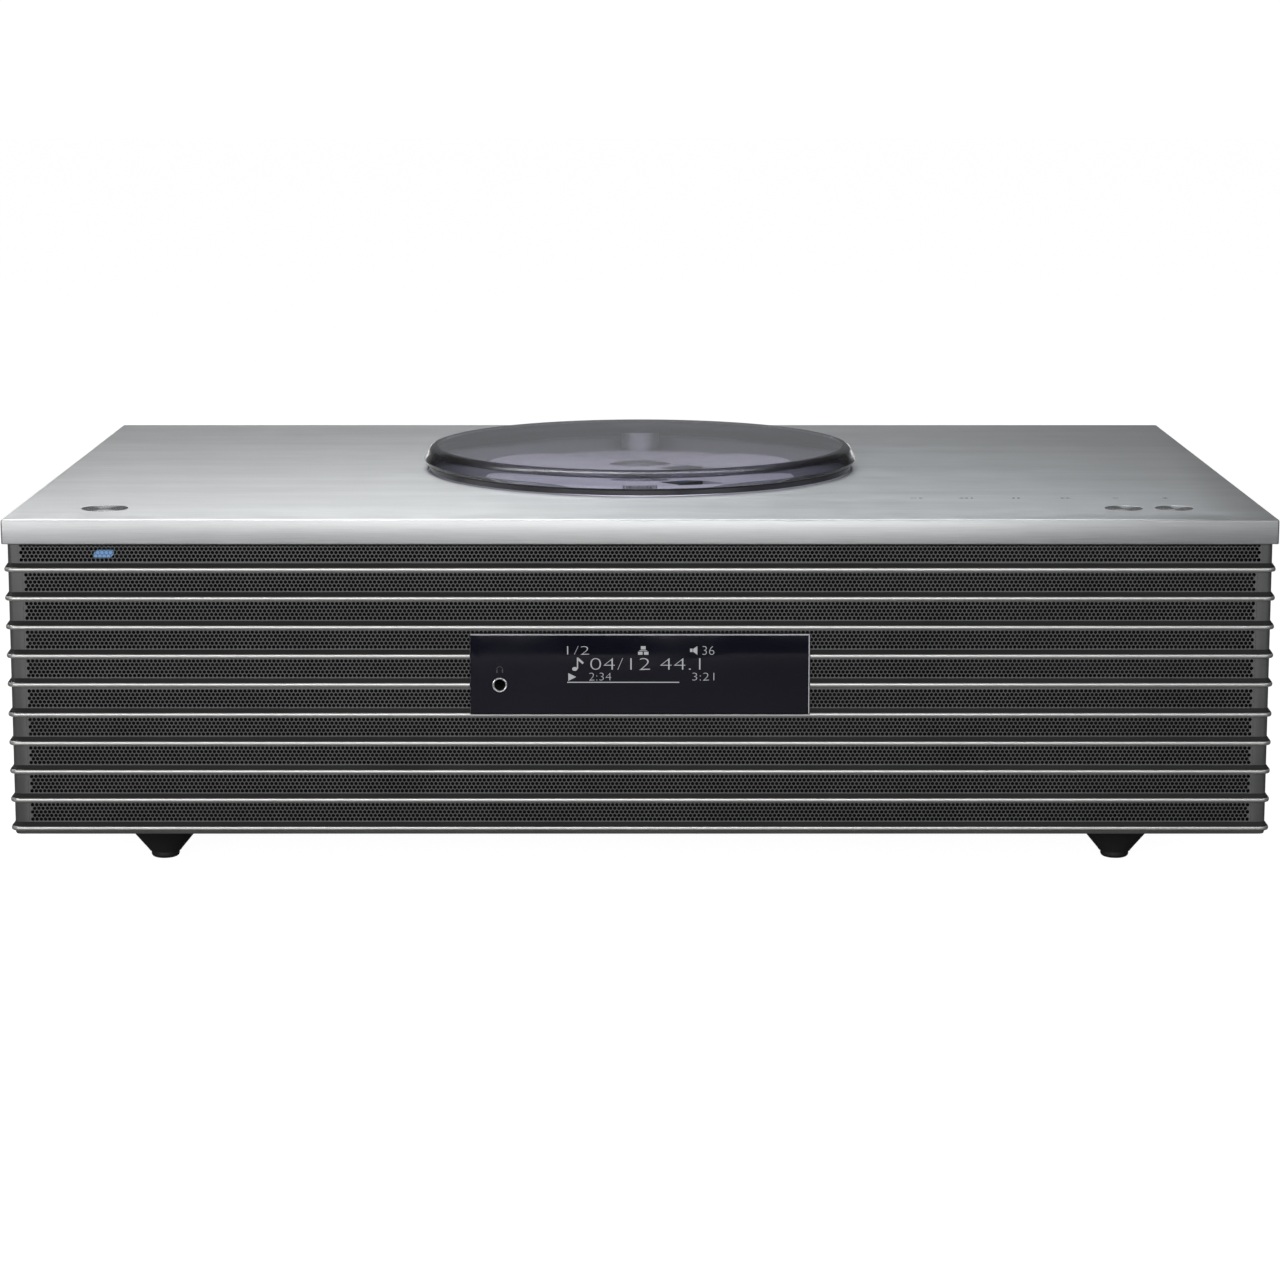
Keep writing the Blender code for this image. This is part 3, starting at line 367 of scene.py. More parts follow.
def spun(name, colour, roughness, centre, anisotropic):
    """Metal turned on a lathe: rings round its own centre, with the crossed glints that they give."""
    shader = Shader(name, colour, roughness, 1.0, Anisotropic=anisotropic)
    place = shader.node("ShaderNodeTexCoord")
    shift = shader.node("ShaderNodeVectorMath", operation="SUBTRACT")
    shift.inputs[1].default_value = (centre.x, centre.y, 0)
    flat = shader.node("ShaderNodeVectorMath", operation="MULTIPLY")
    flat.inputs[1].default_value = (1, 1, 0)
    length = shader.node("ShaderNodeVectorMath", operation="LENGTH")
    rings = shader.node("ShaderNodeTexNoise", noise_dimensions="1D")
    rings.inputs["Scale"].default_value = RING_FREQUENCY
    shader.link(place.outputs["Object"], shift.inputs[0])
    shader.link(shift.outputs[0], flat.inputs[0])
    shader.link(flat.outputs[0], length.inputs[0])
    shader.link(length.outputs["Value"], rings.inputs["W"])
    shader.link(flat.outputs[0], shader.bsdf.inputs["Tangent"])
    shader.vary_roughness(rings.outputs["Fac"], roughness - 0.05, roughness + 0.05)
    shader.vary_colour(rings.outputs["Fac"], 0.92, 1.05)
    return shader.material


def clear_acrylic(name, tint, absorbed, density, gloss):
    """Smoked acrylic, darker where it is thicker, that also lets the lamps' light through."""
    shader = Shader(name, tint, 0.015, 0.0, IOR=ACRYLIC_IOR)
    shader.set("Transmission Weight", 1.0)
    shader.set("Coat Weight", 1.0)
    shader.set("Coat Roughness", gloss)
    shader.vary_roughness(shader.noise(60), 0.03, 0.05)
    output = shader.tree.nodes["Material Output"]
    clear = shader.node("ShaderNodeBsdfTransparent")
    clear.inputs["Color"].default_value = (*tint, 1)
    path = shader.node("ShaderNodeLightPath")
    choice = shader.node("ShaderNodeMixShader")
    smoke = shader.node("ShaderNodeVolumeAbsorption")
    smoke.inputs["Color"].default_value = (*absorbed, 1)
    smoke.inputs["Density"].default_value = density
    shader.link(path.outputs["Is Shadow Ray"], choice.inputs["Fac"])
    shader.link(shader.bsdf.outputs["BSDF"], choice.inputs[1])
    shader.link(clear.outputs["BSDF"], choice.inputs[2])
    shader.link(choice.outputs["Shader"], output.inputs["Surface"])
    shader.link(smoke.outputs["Volume"], output.inputs["Volume"])
    return shader.material


def glowing(name, colour, strength):
    shader = Shader(name, (0.02, 0.02, 0.02), 0.4)
    shader.set("Emission Color", (*colour, 1))
    shader.set("Emission Strength", strength)
    shader.vary_roughness(shader.noise(800), 0.35, 0.5)
    return shader.material


MAT = {
    "brushed_aluminium": brushed(
        "plate_brushed", (0.62, 0.63, 0.635), 0.4, (60, 700, 2600), (0, 1, 1), 0.65
    ),
    "rib_nose": polished("rib_nose_bright", (0.64, 0.635, 0.62), 0.44),
    "louvre_metal": speckled("louvre_dark", (0.145, 0.145, 0.147), 0.5, 0.6, depth=0.000004),
    "grille_metal": speckled("grille_dark", (0.145, 0.145, 0.147), 0.5, 0.6, depth=0.000004),
    "rib_black": speckled("rib_black", (0.018, 0.018, 0.018), 0.5, depth=0.000004),
    "acoustic_cloth": speckled(
        "acoustic_cloth", (0.004, 0.004, 0.004), 0.95, grain=1500, Specular_IOR_Level=0.02
    ),
    "smoked_clear": clear_acrylic("smoked_acrylic", (0.92, 0.91, 0.95), (0.30, 0.27, 0.40), 36, 0.01),
    # the wall's acrylic is a darker, denser copy of the disc's: painted shade on the lid's wall
    "smoked_wall_painted_shade": clear_acrylic("smoked_wall_painted_shade", (0.72, 0.73, 0.75), (0.30, 0.30, 0.35), 240, 0.28),
    # near black for the lid's foot band: painted shade of the gap under the lid's rim
    "painted_shade_lid_foot": speckled("painted_shade_lid_foot", (0.035, 0.034, 0.038), 0.12, depth=0.000001),
    "tray_slope": speckled("tray_slope", (0.26, 0.26, 0.29), 0.7, 0.0, Specular_IOR_Level=0.1),
    "tray_bed": speckled("tray_bed", (0.76, 0.75, 0.81), 0.4, 0.0, depth=0.000004),
    "pivot_dark": speckled("pivot_dark", (0.05, 0.05, 0.055), 0.3, 0.5, depth=0.000001),
    "polished_metal": polished("polished_metal", (0.8, 0.8, 0.82), 0.28),
    "window_gloss": speckled(
        "window_gloss", (0.007, 0.007, 0.014), 0.07, depth=0.000001
    ),
    "window_trim": speckled("window_trim", (0.75, 0.75, 0.78), 0.45, depth=0.000001),
    "screen_glass": speckled("screen_glass", (0.01, 0.01, 0.014), 0.12, depth=0.000001),
    "light_guide": glowing("status_blue", (0.17, 0.38, 0.74), 0.8),
    "display_glow": glowing("display_glow", (0.40, 0.41, 0.42), 0.9),
    "socket_mark": speckled("socket_mark", (0.05, 0.05, 0.055), 0.5, depth=0.000001),
    "black_plastic": speckled("black_plastic", (0.022, 0.022, 0.024), 0.5),
    "black_metal": speckled("black_metal", (0.03, 0.03, 0.032), 0.48, 0.5),
    "rubber_black": speckled("rubber_black", (0.016, 0.016, 0.016), 0.62),
    "steel": brushed("plated_steel", (0.5, 0.5, 0.51), 0.34, (60, 1500, 1500)),
    "board_green": speckled("board_green", (0.02, 0.12, 0.05), 0.4),
    "cone_fibre": speckled("cone_fibre", (0.035, 0.035, 0.038), 0.75, grain=900, depth=0.0001),
    "sink_aluminium": speckled("sink_anodised", (0.06, 0.06, 0.065), 0.42, 0.8),
    "core_steel": speckled("core_steel", (0.13, 0.11, 0.09), 0.5, 0.4),
    "lens_glass": speckled("lens_glass", (0.2, 0.3, 0.45), 0.08, depth=0.000001),
    "contact_brass": polished("contact_brass", (0.78, 0.6, 0.3), 0.25),
    # near black lining of the jack's bore: painted shade for the depth of the hole
    "jack_bore_painted_shade": speckled("jack_bore_painted_shade", (0.006, 0.006, 0.006), 0.9),
    "mark_ink": speckled("mark_ink", (0.06, 0.06, 0.065), 0.5, depth=0.000001),
}


# ---------------------------------------------------------------- mesh helpers


def finish_object(name, mesh, material, smooth=30):
    made = bpy.data.objects.new(name, mesh)
    bpy.context.scene.collection.objects.link(made)
    mesh.materials.clear()
    mesh.materials.append(MAT[material])
    if smooth:
        mesh.shade_smooth()
        mesh.set_sharp_from_angle(angle=math.radians(smooth))
    return made


def from_arrays(name, verts, faces, material, smooth=30):
    mesh = bpy.data.meshes.new(name)
    mesh.from_pydata([tuple(v) for v in verts], [], [tuple(f) for f in faces])
    mesh.update()
    return finish_object(name, mesh, material, smooth)


def from_bmesh(name, shape, material, smooth=30):
    mesh = bpy.data.meshes.new(name)
    shape.to_mesh(mesh)
    shape.free()
    return finish_object(name, mesh, material, smooth)


def rounded_block(name, corner_a, corner_b, material, edge=0.0, segments=3):
    a, b = Vector(corner_a), Vector(corner_b)
    shape = bmesh.new()
    bmesh.ops.create_cube(shape, size=1)
    bmesh.ops.scale(shape, vec=b - a, verts=shape.verts)
    bmesh.ops.translate(shape, vec=(a + b) / 2, verts=shape.verts)
    if edge:
        round_edges(shape, list(shape.edges), edge, segments)
    return from_bmesh(name, shape, material)


def round_edges(shape, edges, radius, segments):
    bmesh.ops.bevel(shape, geom=edges, offset=radius, segments=segments, profile=0.5, affect="EDGES")


def thin_plate(name, outline, thickness, material):
    """A flat outline, given as points in space, drawn out by a vector into a closed plate."""
    shape = bmesh.new()
    face = shape.faces.new([shape.verts.new(point) for point in outline])
    made = bmesh.ops.extrude_face_region(shape, geom=[face])
    moved = [v for v in made["geom"] if isinstance(v, bmesh.types.BMVert)]
    bmesh.ops.translate(shape, vec=thickness, verts=moved)
    bmesh.ops.recalc_face_normals(shape, faces=shape.faces)
    return from_bmesh(name, shape, material, 0)


def lathe_arrays(profile, steps, closed):
    """A turned shape round Z. The profile runs clockwise: out, down the outside, back."""
    verts, faces, rings = [], [], []
    for radius, height in profile:
        if radius < ON_AXIS:
            rings.append([len(verts)] * steps)
            verts.append((0, 0, height))
            continue
        rings.append(list(range(len(verts), len(verts) + steps)))
        for step in range(steps):
            angle = 2 * math.pi * step / steps
            verts.append((radius * math.cos(angle), radius * math.sin(angle), height))
    pairs = list(zip(rings, rings[1:]))
    if closed:
        pairs.append((rings[-1], rings[0]))
    for upper, lower in pairs:
        for step in range(steps):
            following = (step + 1) % steps
            face = [upper[step], lower[step], lower[following], upper[following]]
            unique = list(dict.fromkeys(face))
            if len(unique) > 2:
                faces.append(unique)
    return verts, faces


def lathe(name, profile, material, at=(0, 0, 0), turn=(0, 0, 0), steps=96, closed=False, smooth=30):
    verts, faces = lathe_arrays(profile, steps, closed)
    made = from_arrays(name, verts, faces, material, smooth)
    made.data.transform(Matrix.Translation(Vector(at)) @ Euler(turn).to_matrix().to_4x4())
    return made


def arc(centre, radius, start, end, count):
    """Points along an arc, angles in degrees, both ends included."""
    points = []
    for step in range(count + 1):
        angle = math.radians(start + (end - start) * step / count)
        points.append((centre[0] + radius * math.cos(angle), centre[1] + radius * math.sin(angle)))
    return points


def apply_modifiers(made):
    graph = bpy.context.evaluated_depsgraph_get()
    mesh = bpy.data.meshes.new_from_object(made.evaluated_get(graph))
    old = made.data
    made.modifiers.clear()
    made.data = mesh
    bpy.data.meshes.remove(old)


def cut(made, cutters, operation="DIFFERENCE"):
    """Cuts the cutters away from a piece, or joins them to it, and removes them."""
    for cutter in cutters:
        step = made.modifiers.new("cut", "BOOLEAN")
        step.operation = operation
        step.object = cutter
    apply_modifiers(made)
    for cutter in cutters:
        bpy.data.objects.remove(cutter, do_unlink=True)
    made.data.shade_smooth()
    made.data.set_sharp_from_angle(angle=math.radians(30))
    return made


def joined(name, pieces):
    """One object out of several meshes that share a material."""
    shape = bmesh.new()
    for piece in pieces:
        shape.from_mesh(piece.data)
    mesh = bpy.data.meshes.new(name)
    shape.to_mesh(mesh)
    shape.free()
    material = pieces[0].data.materials[0]
    for piece in pieces:
        bpy.data.objects.remove(piece, do_unlink=True)
    mesh.materials.append(material)
    made = bpy.data.objects.new(name, mesh)
    bpy.context.scene.collection.objects.link(made)
    return made


def piece(made, body, slot, *nodes):
    """Puts a finished object on its body, names its slot and what it stands for."""
    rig.ride(made, body)
    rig.slot(made, slot)
    if nodes:
        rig.replaces(made, *nodes)
    return made


# ---------------------------------------------------------------- top plate and buttons


def build_plate():
    plate = rounded_block("plate", PLATE_LOW, PLATE_HIGH, "brushed_aluminium")
    shape = bmesh.new()
    shape.from_mesh(plate.data)

    def lower_edges():
        limit = PLATE_BOTTOM + ON_PLANE
        return [e for e in shape.edges if all(v.co.z < limit for v in e.verts)]

    kept = lower_edges()
    round_edges(shape, [e for e in shape.edges if e not in kept], PLATE_EDGE, 5)
    round_edges(shape, lower_edges(), PLATE_LOWER_EDGE, 3)
    shape.to_mesh(plate.data)
    shape.free()
    recess = rounded_block(
        "plate_recess",
        PLATE_LOW + Vector((PLATE_RIM, PLATE_RIM, -BEYOND)),
        Vector((PLATE_HIGH.x - PLATE_RIM, PLATE_HIGH.y - PLATE_RIM, PLATE_TOP - PLATE_SKIN)),
        "brushed_aluminium",
    )

    def hole(name, centre, radius, steps):
        above, below = PLATE_TOP + 1 * MM, PLATE_BOTTOM - BEYOND
        profile = [(0, above), (radius + HOLE_CHAMFER + 1 * MM, above)]
        profile += [(radius, PLATE_TOP - HOLE_CHAMFER), (radius, below), (0, below)]
        return lathe(name, profile, "brushed_aluminium", at=(centre.x, centre.y, 0), steps=steps)

    cutters = [recess, hole("well_cutter", Vector((0, 0, 0)), WELL_RADIUS, ROUND_STEPS)]
    for name in BUTTONS:
        cutters.append(hole(name + "_cutter", middle(name), button_radius(name) + GAP, 64))
    cut(plate, cutters)
    piece(plate, CASE, "brushed_aluminium", "top_plate")


def button_radius(name):
    """The cap's radius; the node's own box is its wider collar."""
    return (high(name).x - low(name).x) / 2 - BUTTON_COLLAR


def build_buttons():
    for name in BUTTONS:
        centre, radius, top, under = middle(name), button_radius(name), high(name).z, low(name).z
        profile = []
        for share in np.linspace(0, DISH_SHARE, 14):
            profile.append((radius * share, top - BUTTON_DISH * (1 - (share / DISH_SHARE) ** 2)))
        profile += arc((radius - BUTTON_EDGE, top - BUTTON_EDGE), BUTTON_EDGE, 80, 0, 3)
        profile += [(radius, COLLAR_TOP), (radius + BUTTON_COLLAR, COLLAR_TOP)]
        profile += [(radius + BUTTON_COLLAR, COLLAR_UNDER), (STEM_RADIUS, COLLAR_UNDER)]
        profile += [(STEM_RADIUS, under), (0, under)]
        MAT[name] = spun(name + "_spun", (0.52, 0.52, 0.53), 0.29, centre, 0.9)
        cap = lathe(name + "_cap", profile, name, at=(centre.x, centre.y, 0), steps=72)
        piece(cap, name, "turned_aluminium", name)


def build_touch_marks():
    """Six tiny generic symbols in front of the well's right side: no letters."""
    size, thin, stroke = MARK_SIZE, 0.35 * MM, 0.3 * MM

    def bar(x, across, up, y=0.0):
        return [(x + a * across, y + b * up) for a, b in ((-1, -1), (1, -1), (1, 1), (-1, 1))]

    def arrow(x, way):
        return [(x - way * size / 2, -size), (x + way * size, 0), (x - way * size / 2, size)]

    symbols = (
        (bar(-1.2 * MM, size, thin), arrow(1.5 * MM, 1)),
        (arrow(-1.8 * MM, -1), arrow(0, -1), bar(2 * MM, stroke, size)),
        (bar(-0.9 * MM, 0.4 * MM, size), bar(0.9 * MM, 0.4 * MM, size)),
        (arrow(-1.2 * MM, 1), arrow(0.8 * MM, 1)),
        (bar(0, size, thin),),
        (bar(0, size, stroke), bar(0, stroke, size, 0.01 * MM)),
    )
    shapes = []
    for index, symbol in enumerate(symbols):
        x = MARK_FIRST_X + MARK_PITCH * index
        for outline in symbol:
            points = [(x + dx, MARK_ROW_Y + dy, MARK_Z) for dx, dy in outline]
            shapes.append(thin_plate("mark", points, (0, 0, MARK_THICKNESS), "mark_ink"))
    piece(joined("touch_marks", shapes), CASE, "louvre_metal")


# ---------------------------------------------------------------- louvre, ribs and perforated grille


def wrap_path(outward, corner_steps=8):
    """Plan of the wall at a distance outside its flats: rear left, round the front, rear right."""
    points = [(-FLAT_X - outward, WALL_REAR)]
    radius = max(CORNER_RADIUS + outward, 0.05 * MM)
    reach = CORNER_RADIUS
    for side, start in ((-1, 180), (1, 270)):
        centre = (side * (FLAT_X - reach), FLAT_Y + reach)
        points += arc(centre, radius, start, start + 90, corner_steps)
    points.append((FLAT_X + outward, WALL_REAR))
    return points


def swept(name, section, material, smooth=35):
    """A closed strip along the wall's plan. The section is (outward, height), counter-clockwise."""
    rows = [wrap_path(outward) for outward, _ in section]
    count = len(rows[0])
    verts = [(x, y, height) for row, (_, height) in zip(rows, section) for x, y in row]
    size = len(section)
    faces = []
    for level in range(size):
        following = (level + 1) % size
        for step in range(count - 1):
            a, b = level * count + step, level * count + step + 1
            c, d = following * count + step + 1, following * count + step
            faces.append((a, b, c, d))
    faces.append([level * count for level in range(size)][::-1])
    faces.append([level * count + count - 1 for level in range(size)])
    made = from_arrays(name, verts, faces, material, smooth)
    shape = bmesh.new()
    shape.from_mesh(made.data)
    bmesh.ops.recalc_face_normals(shape, faces=shape.faces)
    shape.to_mesh(made.data)
    shape.free()
    return made


def window_cutter(name):
    return rounded_block(
        name,
        (WINDOW_LOW.x - GAP, FLAT_Y - BEYOND, WINDOW_LOW.z - GAP),
        (WINDOW_HIGH.x + GAP, FLAT_Y + BEYOND, WINDOW_HIGH.z + GAP),
        "louvre_metal",
    )


def front_space(name, reach, bottom):
    """Cuts the wall's front away between two corner posts."""
    corner = (reach, FLAT_Y + 20 * MM, WALL_TOP + BEYOND)
    return rounded_block(name, (-reach, FLAT_Y - BEYOND, bottom), corner, "louvre_metal")


def build_louvre():
    wall_section = [(-WALL, WALL_TOP), (-WALL, BODY_BOTTOM), (-1.2 * MM, BODY_BOTTOM)]
    wall_section += [(-0.3 * MM, BODY_BOTTOM + 0.25 * MM), (0, BODY_BOTTOM + 0.9 * MM), (0, WALL_TOP)]
    wall = swept("louvre_wall", wall_section, "louvre_metal")
    nose = NOSE_HEIGHT / 2
    openings = [front_space("front_space", POST_X, BODY_BOTTOM + 2.2 * MM)]
    openings.append(front_space("first_band_space", FIRST_BAND_X, rib_z(0) + nose))
    cut(wall, openings)
    piece(wall, CASE, "louvre_metal", "louvre_frame")
    web_back, web_front, web_lift = 0.02 * MM, NOSE_PROUD - 0.55 * MM, 0.12 * MM
    bead_depth = 0.6 * MM
    bead_centre = NOSE_PROUD - bead_depth
    bead_back = bead_centre - 0.35 * MM
    for index in range(RIB_COUNT):
        z = rib_z(index)
        web = [(web_back, z + nose + SLOPE_RISE), (web_back, z - nose + web_lift)]
        web += [(web_front, z - nose + web_lift), (web_front, z + nose - 0.2 * MM)]
        web.append((NOSE_PROUD - 0.3 * MM, z + nose))
        rib = swept(f"rib_{index + 1:02d}", web, "rib_black")
        bead = [(bead_back, z + nose), (bead_back, z - nose)]
        for x, dz in arc((0, 0), 1, -90, 90, 10):
            bead.append((bead_centre + max(x, 0) ** 0.6 * bead_depth, z + dz * nose))
        edge = swept(f"rib_nose_{index + 1:02d}", bead, "rib_nose", 50)
        if WINDOW_LOW.z - 1 * MM < z < WINDOW_HIGH.z + 1 * MM:
            cut(rib, [window_cutter("window_cut_a")])
            cut(edge, [window_cutter("window_cut_b")])
        piece(rib, CASE, "louvre_metal")
        piece(edge, CASE, "brushed_aluminium")


def perforated_band(name, x_from, x_to, z_low, z_high, rows_low, blocked):
    """A sheet with staggered rows of round holes: front, back and all its edges, one closed skin."""
    half = HOLE_PITCH / 2
    columns = int((x_to - x_from) / HOLE_PITCH)
    start = (x_from + x_to) / 2 - columns * half
    finish = start + columns * HOLE_PITCH
    verts, faces, index = [], [], {}

    def vertex(x, z, side):
        key = (round(x * 1e6), round(z * 1e6), side)
        if key not in index:
            index[key] = len(verts)
            verts.append((x, FLAT_Y + side * SHEET, z))
        return index[key]

    def panel(points):
        ring = list(dict.fromkeys(vertex(x, z, 0) for x, z in points))
        back = list(dict.fromkeys(vertex(x, z, 1) for x, z in points))
        if len(ring) > 2:
            faces.append(ring)
            faces.append(back[::-1])

    def behind_window(x, z):
        return blocked and blocked[0] < x < blocked[1] and WINDOW_LOW.z < z < WINDOW_HIGH.z

    angles = [2 * math.pi * (k + 0.5) / HOLE_SIDES for k in range(HOLE_SIDES)]
    circle = [(HOLE_RADIUS * math.cos(a), HOLE_RADIUS * math.sin(a)) for a in angles]
    for row in range(HOLE_ROWS):
        z0 = rows_low + (row - 0.5) * HOLE_ROW
        z1 = z0 + HOLE_ROW
        zc = (z0 + z1) / 2
        first = start + half * (row % 2)
        last = finish - half * (row % 2)
        left = [(x_from, z0), (start, z0), (first, z0), (first, zc)]
        panel(left + [(first, z1), (start, z1), (x_from, z1)])
        right = [(last, z0), (finish, z0), (x_to, z0), (x_to, z1)]
        panel(right + [(finish, z1), (last, z1), (last, zc)])
        for column in range(columns - row % 2):
            xa = first + column * HOLE_PITCH
            xc, xb = xa + half, xa + HOLE_PITCH
            if behind_window(xc, zc):
                continue
            ring = [(xc + dx, zc + dz) for dx, dz in circle]
            outer = [(xb, zc), (xb, z1), (xc, z1), (xa, z1), (xa, zc), (xa, z0), (xc, z0), (xb, z0)]
            for k in range(HOLE_SIDES):
                following = (k + 1) % HOLE_SIDES
                panel([ring[k], outer[following], ring[following]])
                panel([ring[k], outer[k], outer[following]])
    rows_high = rows_low + (HOLE_ROWS - 0.5) * HOLE_ROW
    stops = [x_from] + [start + half * k for k in range(2 * columns + 1)] + [x_to]
    for a, b in ((z_low, rows_low - 0.5 * HOLE_ROW), (rows_high, z_high)):
        for left, right in zip(stops, stops[1:]):
            if not behind_window((left + right) / 2, (a + b) / 2):
                panel([(left, a), (right, a), (right, b), (left, b)])
    return close_edges(name, verts, faces)


def close_edges(name, verts, faces):
    """Adds the walls between a sheet's front and back wherever either has a free edge."""
    partner = {}
    for front, back in zip(faces[::2], faces[1::2]):
        partner.update(zip(front, back[::-1]))
    edges = {edge for face in faces[::2] for edge in zip(face, face[1:] + face[:1])}
    walls = [(b, a, partner[a], partner[b]) for a, b in sorted(edges) if (b, a) not in edges]
    return from_arrays(name, verts, faces + walls, "grille_metal", 0)


def build_grille():
    for index in range(RIB_COUNT):
        z, first = rib_z(index), index == 0
        ceiling = WALL_TOP if first else rib_z(index - 1) - NOSE_HEIGHT / 2 + GAP
        blocked = None
        if z + 1 * MM < WINDOW_HIGH.z and ceiling > WINDOW_LOW.z + 3 * MM:
            blocked = (WINDOW_LOW.x + 1.2 * MM, WINDOW_HIGH.x - 1.2 * MM)
        reach = (FIRST_BAND_X if first else POST_X) - 0.05 * MM
        floor = z + (NOSE_HEIGHT / 2 if first else GAP)
        lowest = z + LOWEST_ROW + (FIRST_BAND_RAISE if first else 0)
        name = f"grille_band_{index + 1:02d}"
        band = perforated_band(name, -reach, reach, floor, ceiling, lowest, blocked)
        piece(band, CASE, "grille_metal", *(["front_grille"] if first else []))
    cloth_front = FLAT_Y + SHEET + CLOTH_GAP
    cloth = rounded_block(
        "acoustic_cloth",
        (-POST_X + 1 * MM, cloth_front, BODY_BOTTOM + 3 * MM),
        (POST_X - 1 * MM, cloth_front + CLOTH, WALL_TOP - 0.5 * MM),
        "acoustic_cloth",
    )
    light_low, light_high = low("status_light"), high("status_light")
    openings = (
        (WINDOW_LOW - Vector((0.5, 1, 0.5)) * MM, WINDOW_HIGH + Vector((0.5, 4, 0.5)) * MM),
        (light_low - Vector((0.3, 2, 0.3)) * MM, light_high + Vector((0.3, 0, 0.3)) * MM),
    )
    cut(cloth, [rounded_block("cloth_gap", a, b, "acoustic_cloth") for a, b in openings])
    piece(cloth, CASE, "grille_metal")


# ---------------------------------------------------------------- display


def build_display():
    corner = WINDOW_HIGH - Vector((TRIM, 0, TRIM))
    inset = 0.02 * MM
    window = rounded_block("window_panel", WINDOW_LOW, corner, "window_gloss", 0.12 * MM)
    side_from, side_to = (corner.x + inset, *WINDOW_LOW.yz), (*WINDOW_HIGH.xy, corner.z)
    bars = [
        rounded_block("trim", (*WINDOW_LOW.xy, corner.z + inset), WINDOW_HIGH, "window_trim"),
        rounded_block("trim", side_from, side_to, "window_trim"),
    ]
    piece(joined("window_trim", bars), CASE, "window_gloss")
    jack = middle("headphone_jack")
    radius = (high("headphone_jack").z - low("headphone_jack").z) / 2
    reach = 10 * MM
    mouth = [(0, reach), (radius + GAP / 2, reach), (radius + GAP / 2, -reach), (0, -reach)]
    at_window = {"at": (jack.x, WINDOW_LOW.y, jack.z), "turn": TO_FRONT, "steps": 48}
    cut(window, [lathe("jack_cutter", mouth, "window_gloss", **at_window)])
    piece(window, CASE, "window_gloss", "display_window")
    profile = [(JACK_BORE, -0.5 * MM)]
    profile += arc((JACK_BORE + JACK_ROUND, -JACK_ROUND), JACK_ROUND, 180, 90, 4)
    profile += arc((radius - JACK_ROUND, -JACK_ROUND), JACK_ROUND, 90, 0, 4)
    profile += [(radius, -JACK_RING), (JACK_BORE, -JACK_RING)]
    at_jack = {"at": (jack.x, low("headphone_jack").y, jack.z), "turn": TO_FRONT, "steps": 48}
    ring = lathe("jack_ring", profile, "polished_metal", closed=True, **at_jack)
    piece(ring, CASE, "polished_metal", "headphone_jack")
    # The sleeve inside the bore is near black: painted shade for the depth of the hole.
    mouth_z = -JACK_RING - 0.02 * MM
    barrel = [(JACK_BORE, mouth_z), (radius, mouth_z), (radius, SLEEVE_END), (0, SLEEVE_END)]
    barrel += [(0, SLEEVE_FLOOR), (JACK_BORE, SLEEVE_FLOOR)]
    sleeve = lathe("jack_sleeve", barrel, "jack_bore_painted_shade", closed=True, **at_jack)
    piece(sleeve, CASE, "polished_metal")


def build_status_light():
    """The blue lamp behind the grille: a thin rounded bar, seen only through the holes."""
    near = low("status_light") + Vector((0.5, 0, 0.1)) * MM
    far = high("status_light") - Vector((1.1, 0, 1.3)) * MM
    bar = rounded_block("status_lamp", near, far, "light_guide", 0.5 * MM)
    piece(bar, CASE, "light_guide", "status_light")


def screen_shape(points):
    """A flat outline in the screen's plane, points (x, z) in millimetres, as a thin closed plate."""
    outline = [(x * MM, SCREEN_Y, z * MM) for x, z in points]
    return thin_plate("figure", outline, (0, -FIGURE_DEPTH, 0), "display_glow")


def screen_bar(x0, z0, x1, z1):
    return screen_shape([(x0, z0), (x1, z0), (x1, z1), (x0, z1)])


def screen_disc(x, z, across, up, steps=16):
    turns = [2 * math.pi * k / steps for k in range(steps)]
    return screen_shape([(x + across * math.cos(t), z + up * math.sin(t)) for t in turns])


def screen_number(text, x0, x1, z0, z1):
    """Figures fitted to a rectangle of the screen, in millimetres."""
    curve = bpy.data.curves.new("figures", "FONT")
    curve.body = text
    curve.extrude = FIGURE_DEPTH / 2
    curve.offset = FIGURE_THINNING
    curve.resolution_u = 4
    written = bpy.data.objects.new("figures", curve)
    bpy.context.scene.collection.objects.link(written)
    bpy.context.view_layer.update()
    graph = bpy.context.evaluated_depsgraph_get()
    mesh = bpy.data.meshes.new_from_object(written.evaluated_get(graph))
    bpy.data.objects.remove(written, do_unlink=True)
    corners = np.array([v.co[:] for v in mesh.vertices])
    least, most = corners.min(0), corners.max(0)
    for vertex in mesh.vertices:
        u = (vertex.co.x - least[0]) / (most[0] - least[0])
        v = (vertex.co.y - least[1]) / (most[1] - least[1])
        depth = -(vertex.co.z - least[2])
        vertex.co = ((x0 + (x1 - x0) * u) * MM, SCREEN_Y + depth, (z0 + (z1 - z0) * v) * MM)
    shape = bmesh.new()
    shape.from_mesh(mesh)
    bmesh.ops.remove_doubles(shape, verts=shape.verts, dist=0.001 * MM)
    bmesh.ops.recalc_face_normals(shape, faces=shape.faces)
    shape.to_mesh(mesh)
    shape.free()
    return finish_object("figures", mesh, "display_glow", 0)


